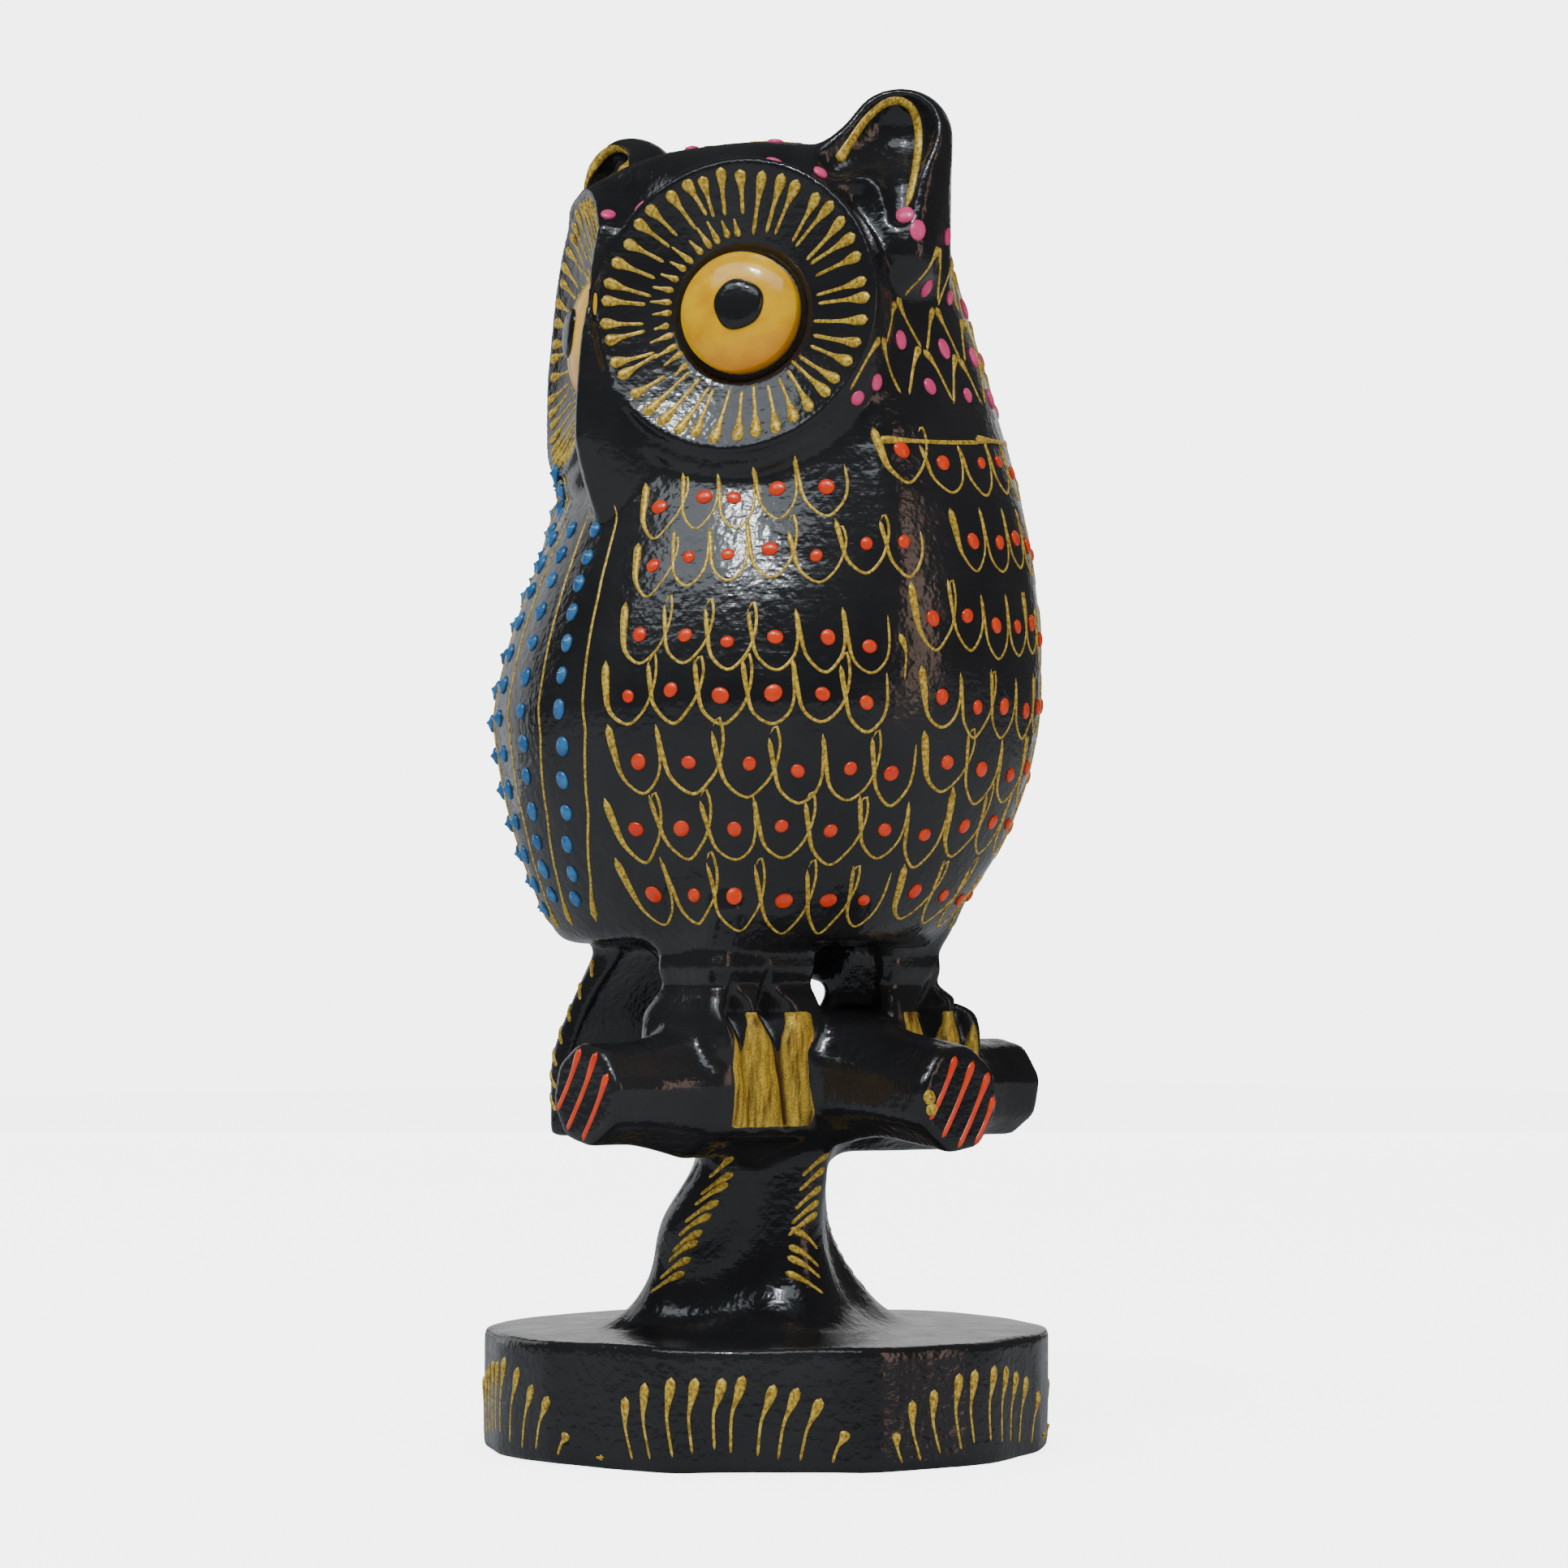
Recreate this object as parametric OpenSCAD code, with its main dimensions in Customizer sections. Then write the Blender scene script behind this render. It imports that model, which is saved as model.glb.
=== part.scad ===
// Carved owl sitting on a branch, over a flared trunk and a round base.
// Millimetres, +Z up, origin at the middle of the underside.
// The body faces -Y, the perch runs along X, and the head is turned to face -X.
// The carving is divided into its members, which meet face to face.

/* [Base and trunk] */
// Diameter of the round base
base_d = 64.4; // [64:0.1:72]
// Height of the base
base_h = 14; // [10:0.1:15]
// Diameter of the trunk where it stands on the base
trunk_foot_d = 33; // [28:0.5:40]
// Diameter of the trunk at its waist, under the perch
trunk_waist_d = 14.8; // [13:0.1:17]
// Turn of the ridges from the foot of the trunk to its top, in degrees
trunk_turn = 38; // [0:1:60]

/* [Perch] */
// Length of the perch from end to end
perch_l = 64; // [56:0.5:64]
// Width of the eight-sided perch across its flats
perch_w = 11.2; // [10:0.1:12]
// Height of the perch's axis above the table
perch_z = 40.5; // [40:0.1:42]
// How far the perch lies in front of the middle
perch_y = -7; // [-8:0.1:-6]
// Reach of the front branch, measured from the middle
branch_reach = 31; // [26:0.5:32]

/* [Body] */
// Largest diameter of the body
body_d = 62.8; // [58:0.1:64]
// Height at which the body is widest
body_wide_z = 84.6; // [82:0.1:87]
// Height of the body's flat underside
body_low_z = 56.3; // [56:0.1:58]
// Height of the line between body and head
neck_z = 112; // [111:0.1:113]
// Width of the tail
tail_w = 20; // [16:0.5:24]
// Thickness of the tail
tail_t = 3.2; // [2.5:0.1:4]

/* [Head] */
// Height of the crown, without the ears
crown_z = 147; // [145:0.1:149]
// Diameter of the crown
crown_d = 40.6; // [38:0.1:42]
// Height of the tips of the ears
ear_tip_z = 152; // [150:0.1:155]
// Diameter of each face disc
disc_d = 32; // [30:0.1:33]
// Depth of the hollow in each face disc
disc_dish = 3.4; // [2:0.1:4]
// Backward lean of the face discs, in degrees
disc_lean = 5; // [0:0.5:8]
// Diameter of each eye
eye_d = 14; // [12:0.1:15]
// Height of each eye's dome
eye_h = 2.6; // [2:0.1:3]
// Diameter of each pupil
pupil_d = 5.2; // [4:0.1:6]

/* [Hidden] */
$fn = 96;
black = "#1c1e1e";
gold = "#b8963c";
yellow = "#e2a51c";
big = 90;

// A side is -1 or 1: legs and feet lie at X = side * x, face and ears at Y = side * y.
right_x = -1;
left_x = 1;
right_y = 1;
left_y = -1;

// Base
base_edge = 1.6;
base_crown = 0.5;

// Trunk: rings of a lobed circle, which turn as they rise to the flat under the perch
trunk_top_z = perch_z - perch_w / 2;
trunk_lean = -4;
trunk_rings = 14;
trunk_sides = 48;
trunk_ridges = 4;
ridge_share = 0.07;
trunk_flare_h = 8.2;

// Perch and branch
branch_w = 11;
branch_z = 39.6;

// Feet: three toes over the top and the front of the perch
foot_in = 5.7;
foot_out = 19;
foot_front = -14;
foot_back = -4.5;
foot_low = 36;
foot_top = 49.5;
toes = 3;
toe_groove = 1.5;

// Legs: waisted rolls between the feet and the body
leg_x = 11.8;
leg_y = -7.5;
leg_r = 6.7;
leg_waist_r = 5.7;

// Body: two half ellipses joined where the body is widest
body_r = body_d / 2;
body_rise = 60;
body_fall = 37;
body_steps = 14;

// Head: a flaring neck under a domed crown
crown_r = crown_d / 2;
crown_edge_z = crown_z - 4;
head_flare = 1.38;
head_steps = 10;
neck_r = body_r * sqrt(1 - pow((neck_z - body_wide_z) / body_rise, 2));

// Face: two planes that meet in a ridge at Y = 0
face_turn = 30;
disc_r = disc_d / 2;
disc_x = -17.65;
disc_y = 14.5;
disc_z = 127;
disc_t = 4.6;
disc_rim = 1.2;
cheek_h = 9;
cheek_r = 11;
face_distance = norm([disc_x, disc_y]) * cos(atan(disc_y / -disc_x) - face_turn);
lip_low_z = 108.2;
lip_r = 30.2;
lip_back_x = -9;
lip_recess = 2.8;
lip_slope = 43;
eye_r = eye_d / 2;
eye_drop = 0.9;
eye_ball_r = (eye_r * eye_r + eye_h * eye_h) / (2 * eye_h);
pupil_t = 0.5;
beak_half_w = 4;
beak_top_z = 136;
beak_low_z = 103.8;
beak_ridge_x = -28.2;
beak_top_x = -23.6;
beak_tip_x = -24.4;
beak_back_x = -20.5;

// Radius of the body at a height
function egg_r(z) = body_r * sqrt(1 - pow((z - body_wide_z)
    / (z > body_wide_z ? body_rise : body_fall), 2));

// Radius of the head at a height between the neck and the edge of the crown
function pear_r(z) = crown_r + (neck_r - crown_r)
    * pow((crown_edge_z - z) / (crown_edge_z - neck_z), head_flare);

// Radius of the trunk at a height: a concave flare over the waist
function trunk_r(z) = trunk_waist_d / 2 + (trunk_foot_d - trunk_waist_d) / 2
    * exp(-pow((z - base_h) / trunk_flare_h, 1.25));

// Puts its children on a face disc: Z points out of the disc, from the disc's middle
module on_disc(side)
    translate([disc_x, side * disc_y, disc_z])
        rotate([0, 0, side * -face_turn])
            rotate([0, -90 + disc_lean, 0])
                children();

module body_shape()
    rotate_extrude()
        polygon(concat(
            [[0, body_low_z]],
            [for (i = [0 : body_steps])
                let (z = body_low_z + (neck_z - body_low_z) * i / body_steps) [egg_r(z), z]],
            [[0, neck_z]]));

// What is carved away under the face, so that the lip overhangs the chest
module neck_recess()
    for (side = [right_y, left_y])
        rotate([0, 0, side * -face_turn])
            translate([-face_distance + lip_recess, -big, lip_low_z - 0.01]) {
                rotate([0, 90 + lip_slope, 0])
                    translate([0, 0, -2 * big])
                        cube([big, 2 * big, 2 * big]);
                translate([-big, 0, 0])
                    cube([big, 2 * big, big]);
            }

module pear_shape()
    rotate_extrude()
        polygon(concat(
            [[0, neck_z]],
            [for (i = [0 : head_steps])
                let (z = neck_z + (crown_edge_z - neck_z) * i / head_steps) [pear_r(z), z]],
            [for (a = [15 : 15 : 75])
                [(crown_r - 6) + 6 * cos(a), crown_edge_z + 2.6 * sin(a)]],
            [[crown_r * 0.42, crown_z - 0.5], [0, crown_z]]));

module perch_shape()
    translate([0, perch_y, perch_z])
        rotate([0, 90, 0])
            rotate([0, 0, 22.5])
                cylinder(d = perch_w / cos(22.5), h = perch_l, center = true, $fn = 8);

module disc_shape(side, rim_r)
    on_disc(side)
        translate([0, 0, -disc_t])
            cylinder(r = rim_r, h = disc_t);

// The dome of an eye, which stands on the floor of the dish
module eye_shape(side)
    on_disc(side)
        translate([-eye_drop, 0, -disc_dish])
            intersection() {
                translate([0, 0, eye_h - eye_ball_r])
                    sphere(r = eye_ball_r);
                cylinder(r = eye_r + 1, h = eye_h + 1);
            }

module foot_outline()
    polygon([[foot_back, foot_top - 2.6], [foot_back - 2.2, foot_top - 0.6], [-9.6, foot_top],
        [-12.2, foot_top - 0.9], [foot_front + 0.2, foot_top - 3.4], [foot_front, foot_low + 3.6],
        [foot_front + 0.9, foot_low + 0.6], [foot_front + 2.2, foot_low], [-10, foot_low + 3],
        [-7, perch_z]]);

// The foot without the grooves between its toes
module foot_solid(side)
    translate([side > 0 ? foot_in : -foot_out, 0, 0])
        rotate([90, 0, 90])
            linear_extrude(foot_out - foot_in)
                foot_outline();

module foot(side)
    difference() {
        foot_solid(side);
        perch_shape();
        for (i = [1 : toes - 1])
            translate([side * (foot_in + (foot_out - foot_in) * i / toes), foot_front, 0])
                rotate([0, 0, 45])
                    translate([-toe_groove / 2, -toe_groove / 2, foot_low - 1])
                        cube([toe_groove, toe_groove, foot_top - foot_low]);
    }

module leg(side)
    difference() {
        translate([side * leg_x, leg_y, 0])
            rotate_extrude()
                polygon([[0, perch_z], [leg_r - 0.9, perch_z], [leg_r - 0.7, 49],
                    [leg_waist_r, 51.2], [leg_waist_r + 0.1, 53], [leg_r - 0.2, 55.4],
                    [leg_r, 58], [leg_r - 1, 62], [0, 62]]);
        perch_shape();
        body_shape();
        foot_solid(side);
    }

module eye_disc(side)
    intersection() {
        on_disc(side)
            rotate_extrude()
                polygon([[0, -disc_t], [disc_r, -disc_t], [disc_r, -0.3], [disc_r - 0.3, 0],
                    [disc_r - disc_rim, 0], [eye_r + eye_drop + 0.4, -disc_dish],
                    [0, -disc_dish]]);
        half_space(side);
    }

// Everything on one side of the ridge between the discs
module half_space(side)
    translate([-big, side > 0 ? 0 : -big, 0])
        cube([2 * big, big, 2 * big]);

module eye(side)
    difference() {
        eye_shape(side);
        pupil_shape(side);
    }

module pupil_shape(side)
    on_disc(side)
        translate([-eye_drop, 0, eye_h - disc_dish - 2 * pupil_t])
            cylinder(d = pupil_d, h = 2 * pupil_t + 0.25);

// The wedge of the beak: two flanks that meet in a ridge at Y = 0, with a flat-cut tip
module beak_shape()
    intersection() {
        rotate([90, 0, 0])
            linear_extrude(2 * beak_half_w, center = true)
                polygon([[beak_back_x, beak_top_z - 2], [beak_top_x, beak_top_z],
                    [beak_ridge_x + 0.8, 122], [beak_ridge_x + 0.6, 112],
                    [beak_tip_x, beak_low_z], [beak_back_x, beak_low_z + 1]]);
        rotate([0, 0, -45])
            translate([beak_ridge_x * sin(45), beak_ridge_x * sin(45), 0])
                cube([big, big, 2 * big]);
    }

module lip_shape()
    intersection() {
        translate([0, 0, lip_low_z])
            cylinder(r = lip_r, h = neck_z - lip_low_z);
        translate([-big, -big, 0])
            cube([big + lip_back_x, 2 * big, 2 * big]);
    }

module ear_shape(side)
    hull() {
        translate([0.4, side * 21.2, ear_tip_z - 1.3])
            sphere(r = 1.3, $fn = 24);
        translate([1.5, side * 18.6, 143])
            sphere(r = 4.6, $fn = 24);
        translate([1, side * 17.5, 137])
            sphere(r = 7, $fn = 24);
        translate([-4, side * 23, 136.5])
            sphere(r = 3, $fn = 24);
    }

module ear_hollow(side)
    hull() {
        translate([-3.4, side * 23, 149])
            sphere(r = 0.8, $fn = 16);
        translate([-8.4, side * 24.5, 140])
            sphere(r = 5, $fn = 24);
    }

module base()
    color(black)
        rotate_extrude()
            polygon(concat(
                [[0, 0], [base_d / 2 - 0.6, 0], [base_d / 2, 0.8]],
                [for (a = [0 : 22.5 : 90])
                    [base_d / 2 - base_edge * (1 - cos(a)),
                        base_h - base_crown - base_edge * (1 - sin(a))]],
                [[trunk_foot_d / 2, base_h], [0, base_h]]));

module trunk()
    color(black)
        polyhedron(
            points = [for (k = [0 : trunk_rings - 1])
                let (z = base_h + (trunk_top_z - base_h) * k / (trunk_rings - 1),
                    turn = -trunk_turn * k / (trunk_rings - 1))
                for (j = [0 : trunk_sides - 1])
                    let (a = 360 * j / trunk_sides,
                        r = trunk_r(z) * (1 + ridge_share * cos(trunk_ridges * (a - turn))))
                    [r * cos(a), trunk_lean * k / (trunk_rings - 1) + r * sin(a), z]],
            faces = concat(
                [[for (j = [0 : trunk_sides - 1]) j]],
                [[for (j = [trunk_sides - 1 : -1 : 0]) (trunk_rings - 1) * trunk_sides + j]],
                [for (k = [0 : trunk_rings - 2]) for (j = [0 : trunk_sides - 1])
                    let (n = (j + 1) % trunk_sides, low = k * trunk_sides,
                        high = (k + 1) * trunk_sides)
                    [low + j, high + j, high + n, low + n]]));

module perch()
    color(black)
        perch_shape();

// Stands against the flat front of the perch
module front_branch()
    color(black)
        translate([0, perch_y - perch_w / 2, branch_z])
            rotate([90, 0, 0])
                rotate([0, 0, 22.5])
                    cylinder(d = branch_w / cos(22.5), $fn = 8,
                        h = branch_reach + perch_y - perch_w / 2);

module right_foot() color(gold) foot(right_x);
module left_foot() color(gold) foot(left_x);
module right_leg() color(black) leg(right_x);
module left_leg() color(black) leg(left_x);

module body()
    color(black)
        difference() {
            body_shape();
            neck_recess();
        }

module tail()
    color(black)
        difference() {
            translate([-tail_w / 2, 0, 0])
                rotate([90, 0, 90])
                    linear_extrude(tail_w)
                        polygon([[19.5, 62], [24.2, 62], [26.6, 52], [28.4, 43], [29.2, 34.6],
                            [29.2 - tail_t, 34.6], [25.6, 43], [23.6, 51], [20.5, 57]]);
            body_shape();
        }

module head()
    color(black)
        difference() {
            union() {
                pear_shape();
                for (side = [right_y, left_y])
                    on_disc(side)
                        translate([0, 0, -disc_t - cheek_h])
                            cylinder(r1 = cheek_r, r2 = disc_r - 0.4, h = cheek_h);
            }
            for (side = [right_y, left_y])
                on_disc(side)
                    translate([-big, -big, -disc_t])
                        cube([2 * big, 2 * big, big]);
            translate([-big, -big, -big + neck_z])
                cube([2 * big, 2 * big, big]);
        }

module face_lip()
    color(black)
        difference() {
            lip_shape();
            body();
            head();
            for (side = [right_y, left_y])
                on_disc(side)
                    translate([-big, -big, 0])
                        cube([2 * big, 2 * big, big]);
            disc_shape(right_y, disc_r);
            disc_shape(left_y, disc_r);
            beak_shape();
        }

module right_eye_disc() color(gold) eye_disc(right_y);
module left_eye_disc() color(gold) eye_disc(left_y);
module right_eye() color(yellow) eye(right_y);
module left_eye() color(yellow) eye(left_y);
module right_pupil() color(black) pupil_shape(right_y);
module left_pupil() color(black) pupil_shape(left_y);

module beak()
    color(black)
        difference() {
            beak_shape();
            head();
            disc_shape(right_y, disc_r);
            disc_shape(left_y, disc_r);
        }

module ear(side)
    color(black)
        difference() {
            ear_shape(side);
            ear_hollow(side);
            head();
            disc_shape(side, disc_r);
        }

module right_ear() ear(right_y);
module left_ear() ear(left_y);

base();
trunk();
perch();
front_branch();
right_foot();
left_foot();
right_leg();
left_leg();
body();
tail();
head();
face_lip();
right_eye_disc();
left_eye_disc();
right_eye();
left_eye();
right_pupil();
left_pupil();
beak();
right_ear();
left_ear();
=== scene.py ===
import math
from functools import partial
import bpy
import numpy as np
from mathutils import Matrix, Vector
from mathutils.bvhtree import BVHTree


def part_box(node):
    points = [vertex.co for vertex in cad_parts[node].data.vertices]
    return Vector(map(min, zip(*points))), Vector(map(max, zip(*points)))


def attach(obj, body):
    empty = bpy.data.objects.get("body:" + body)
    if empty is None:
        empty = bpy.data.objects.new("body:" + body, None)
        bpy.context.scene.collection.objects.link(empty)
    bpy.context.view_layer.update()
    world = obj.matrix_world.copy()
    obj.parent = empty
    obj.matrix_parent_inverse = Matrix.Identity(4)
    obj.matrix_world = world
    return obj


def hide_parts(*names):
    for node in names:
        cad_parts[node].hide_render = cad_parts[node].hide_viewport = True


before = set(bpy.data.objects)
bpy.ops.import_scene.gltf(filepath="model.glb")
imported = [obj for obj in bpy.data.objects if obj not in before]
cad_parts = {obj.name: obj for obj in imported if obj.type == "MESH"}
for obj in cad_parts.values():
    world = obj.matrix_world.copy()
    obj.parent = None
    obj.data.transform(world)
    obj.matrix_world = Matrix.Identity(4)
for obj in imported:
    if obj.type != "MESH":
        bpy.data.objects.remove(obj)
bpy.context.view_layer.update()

MM = 0.001
RIGHT, LEFT = 1, -1            # sides of the face: the owl's right eye is at +Y
BOTH = (RIGHT, LEFT)
SIDE_NAMES = {RIGHT: "right", LEFT: "left"}
rng = np.random.default_rng(12)


def box_mm(*nodes):
    """Lowest and highest corner of the CAD nodes, in millimetres."""
    boxes = [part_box(n) for n in nodes]
    low = np.min([np.array(b[0]) for b in boxes], axis=0) / MM
    high = np.max([np.array(b[1]) for b in boxes], axis=0) / MM
    return low, high


def aim(azimuth):
    """Level unit vector at an azimuth in degrees."""
    a = math.radians(azimuth)
    return np.array([math.sin(a), -math.cos(a), 0.0])


def unit(vectors):
    return vectors / np.maximum(np.linalg.norm(vectors, axis=1), 1e-9)[:, None]


# ---------------------------------------------------------------- camera, floor and light
CAMERA_AZIMUTH = -42
CAMERA_DISTANCE = 0.502
CAMERA_HEIGHT = 0.0516
CAMERA_PITCH = 2.71
CAMERA_LENS = 100.6
CAMERA_SHIFT = 0.0114

cam_data = bpy.data.cameras.new("camera")
cam_data.lens = CAMERA_LENS
cam_data.sensor_width = 36
cam_data.shift_x = CAMERA_SHIFT
cam_data.clip_start = 0.01
camera = bpy.data.objects.new("camera", cam_data)
camera.location = Vector(aim(CAMERA_AZIMUTH) * CAMERA_DISTANCE) + Vector((0, 0, CAMERA_HEIGHT))
camera.rotation_euler = (math.radians(90 + CAMERA_PITCH), 0, math.radians(CAMERA_AZIMUTH))
bpy.context.collection.objects.link(camera)
bpy.context.scene.camera = camera


def soft_light(name, azimuth, height, distance, size, power, colour=(1, 1, 1), target=0.09):
    """A square soft box that looks at the figure from an azimuth."""
    data = bpy.data.lights.new(name, "AREA")
    data.shape = "RECTANGLE"
    data.size, data.size_y = size
    data.energy = power
    data.color = colour
    lamp = bpy.data.objects.new(name, data)
    lamp.location = Vector(aim(azimuth) * distance) + Vector((0, 0, height))
    to_target = Vector((0, 0, target)) - lamp.location
    lamp.rotation_euler = to_target.to_track_quat("-Z", "Y").to_euler()
    bpy.context.collection.objects.link(lamp)
    return lamp


soft_light("sky_light", -63, 0.76, 0.48, (1.1, 0.34), 4.2, (0.84, 0.93, 1.0))
soft_light("warm_strip", 20, 0.26, 0.95, (0.2, 0.55), 0.95, (1.0, 0.66, 0.5))
soft_light("rim_light", -178, 0.25, 0.8, (0.5, 0.7), 1.0, (0.95, 0.98, 1.0))
soft_light("back_light", 120, 0.5, 0.9, (0.5, 0.4), 0.25, (1.0, 0.98, 0.95))
soft_light("low_back_light", 138, 0.2, 1.1, (0.9, 0.4), 0.8, target=0.03).visible_camera = False
soft_light("sun_light", -62, 0.86, 0.55, (0.06, 0.06), 3.2, (0.95, 0.98, 1.0))

# An even white surround, of which the lacquer mirrors only a little
DAYLIGHT = (0.97, 0.985, 1.0, 1)
BACKDROP, AMBIENT, MIRRORED = 5.0, 0.9, 0.06
world = bpy.data.worlds.new("studio")
bpy.context.scene.world = world
world.use_nodes = True
wn = world.node_tree
paths = wn.nodes.new("ShaderNodeLightPath")
seen = wn.nodes.new("ShaderNodeMapRange")
seen.inputs["To Min"].default_value = AMBIENT
seen.inputs["To Max"].default_value = BACKDROP
wn.links.new(paths.outputs["Is Camera Ray"], seen.inputs["Value"])
strength = wn.nodes.new("ShaderNodeMapRange")
strength.inputs["To Max"].default_value = MIRRORED
wn.links.new(paths.outputs["Is Glossy Ray"], strength.inputs["Value"])
wn.links.new(seen.outputs["Result"], strength.inputs["To Min"])
wn.links.new(strength.outputs["Result"], wn.nodes["Background"].inputs["Strength"])
wn.nodes["Background"].inputs["Color"].default_value = DAYLIGHT

FLOOR_SIZE, FLOOR_GLOW = 3.0, 4.0
floor_mesh = bpy.data.meshes.new("floor")
half = FLOOR_SIZE / 2
floor_mesh.from_pydata([(-half, -half, 0), (half, -half, 0), (half, half, 0), (-half, half, 0)],
                       [], [(0, 1, 2, 3)])
floor = bpy.data.objects.new("floor", floor_mesh)
bpy.context.collection.objects.link(floor)

# ---------------------------------------------------------------- dimensions from the frame
base_low, base_high = box_mm("base")
BASE_R, BASE_H = (base_high[0] - base_low[0]) / 2, base_high[2]
perch_low, perch_high = box_mm("perch")
PERCH_HALF = perch_high[0]
PERCH_Y, PERCH_Z = ((perch_low + perch_high) / 2)[1:]
PERCH_R = (perch_high[2] - perch_low[2]) / 2
branch_low, branch_high = box_mm("front_branch")
BRANCH_END, BRANCH_Z = -branch_low[1], (branch_low[2] + branch_high[2]) / 2
BRANCH_R = (branch_high[2] - branch_low[2]) / 2
body_low, body_high = box_mm("body")
BODY_LOW, NECK_Z = body_low[2], body_high[2]
tail_low, tail_high = box_mm("tail")
TAIL_HALF = tail_high[0]
foot_low, foot_high = box_mm("left_foot")
CROWN_Z = box_mm("head")[1][2] + 1.2
EAR_TIP = box_mm("left_ear")[1][2]

# Face: two discs on planes that meet in a ridge at Y = 0
FACE_TURN, FACE_LEAN = 30, 5
DISC_X, DISC_Y, DISC_Z = -17.8, 14.2, 127.3
DISC_R = 16.6
DISH_DEPTH = 3.4
EYE_R, EYE_H, EYE_DROP = 6.75, 2.7, 0.35


def face_frame(side):
    """Middle of a face disc, and its outward, upward and facing unit vectors."""
    turn, lean = math.radians(FACE_TURN), math.radians(FACE_LEAN)
    level = np.array([-math.cos(turn), side * math.sin(turn), 0])
    out = np.array([math.sin(turn), side * math.cos(turn), 0])
    facing = level * math.cos(lean) + np.array([0, 0, math.sin(lean)])
    up = np.array([0, 0, math.cos(lean)]) - level * math.sin(lean)
    return np.array([DISC_X, side * DISC_Y, DISC_Z]), out, up, facing


def in_frame(origin, axes, x, y, z):
    """Coordinates of points along three axes from an origin."""
    dx, dy, dz = x - origin[0], y - origin[1], z - origin[2]
    return [dx * a[0] + dy * a[1] + dz * a[2] for a in axes]


def on_disc(side, x, y, z):
    middle, out, up, facing = face_frame(side)
    return in_frame(middle, (out, up, facing), x, y, z)


# ---------------------------------------------------------------- distances, negative inside
def smooth_min(a, b, k):
    h = np.clip(0.5 + 0.5 * (b - a) / k, 0, 1)
    return b * (1 - h) + a * h - k * h * (1 - h)


def smooth_max(a, b, k):
    return -smooth_min(-a, -b, k)


def ease(t):
    t = np.clip(t, 0, 1)
    return t * t * (3 - 2 * t)


def rounded_box(dx, dy, dz, half_size, edge):
    """Distance to a box with rounded edges, from offsets to its middle."""
    qx = np.abs(dx) - half_size[0] + edge
    qy = np.abs(dy) - half_size[1] + edge
    qz = np.abs(dz) - half_size[2] + edge
    outside = np.sqrt(np.maximum(qx, 0) ** 2 + np.maximum(qy, 0) ** 2 + np.maximum(qz, 0) ** 2)
    return outside + np.minimum(np.maximum(np.maximum(qx, qy), qz), 0) - edge


def capsule(x, y, z, start, end, r_start, r_end):
    """Distance to a rod between two points whose radius changes along it."""
    start, end = np.asarray(start, float), np.asarray(end, float)
    along = end - start
    t = ((x - start[0]) * along[0] + (y - start[1]) * along[1] + (z - start[2]) * along[2])
    t = np.clip(t / along.dot(along), 0, 1)
    gap = np.sqrt((x - start[0] - t * along[0]) ** 2 + (y - start[1] - t * along[1]) ** 2
                  + (z - start[2] - t * along[2]) ** 2)
    return gap - (r_start + (r_end - r_start) * t)


def octagon(a, b, r, turn):
    """Distance to an eight-sided prism from the two offsets across it."""
    far = None
    for i in range(4):
        angle = math.radians(turn + 45 * i)
        side = np.abs(a * math.cos(angle) + b * math.sin(angle)) - r
        far = side if far is None else smooth_max(far, side, 0.7)
    return far


def half_ellipse(z, radius, wide_z, height):
    """Radius at a height of a form that is widest at wide_z and ends a height from there."""
    return radius * np.sqrt(np.clip(1 - ((z - wide_z) / height) ** 2, 0.01, 1))


def pear_radius(x, y, z):
    """Radius of the turned body and head at a height, seen in a direction."""
    azimuth = np.arctan2(x, -y)
    fuller = np.clip(0.5 - 0.75 * np.cos(azimuth), 0, 1)
    low = half_ellipse(z, 31.5, 88, 38.0) * (1 - fuller) + half_ellipse(z, 31.4, 86, 43.5) * fuller
    high = half_ellipse(z, 31.5, 88.5, 52.0)
    neck = 27.9 - 0.292 * (z - 113)
    high = np.where(z > 113, neck, high)
    r = np.where(z > 88, high, low)
    # under the face the chest draws in to a neck
    off_face = np.abs((azimuth + math.pi / 2 + math.pi) % (2 * math.pi) - math.pi)
    front = ease((math.radians(78) - off_face) / math.radians(34))
    chest = 31.3 - 8.9 * np.clip((z - 82) / 26, 0, 1.3) ** 1.5
    return r + front * np.minimum(chest - r, 0) * (z > 82)


def pear(x, y, z):
    rho = np.sqrt(x * x + y * y)
    side = (rho - pear_radius(x, y, z)) * 0.97
    top = z - (CROWN_Z - 0.0075 * rho * rho)
    lowest = BODY_LOW + 0.9
    return smooth_max(smooth_max(side, top, 3.5), lowest - z, 1.6)


def cheek(side, x, y, z):
    """The mass behind a face disc, which narrows towards the back of the head."""
    u, v, w = on_disc(side, x, y, z)
    back = np.clip(-w / 15, 0, 1)
    r = np.sqrt((u + 2.5 * back) ** 2 + (v + back) ** 2)
    return smooth_max((r - (15.7 - 5.5 * back)) * 0.95, np.maximum(w + 1, -w - 15), 1.0)


def disc(side, x, y, z):
    u, v, w = on_disc(side, x, y, z)
    return smooth_max(np.sqrt(u * u + v * v) - DISC_R, np.maximum(w, -w - 6), 0.7)


LIP_R = 16.9
LIP_OUT, LIP_DOWN = 0.6, 2.2    # how far the lip's axis lies from the face disc's


def from_lip(side, x, y, z):
    """Distance from the lip's axis, and height over the face disc's plane."""
    u, v, w = on_disc(side, x, y, z)
    return np.sqrt((u + LIP_OUT) ** 2 + (v + LIP_DOWN) ** 2), w


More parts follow.
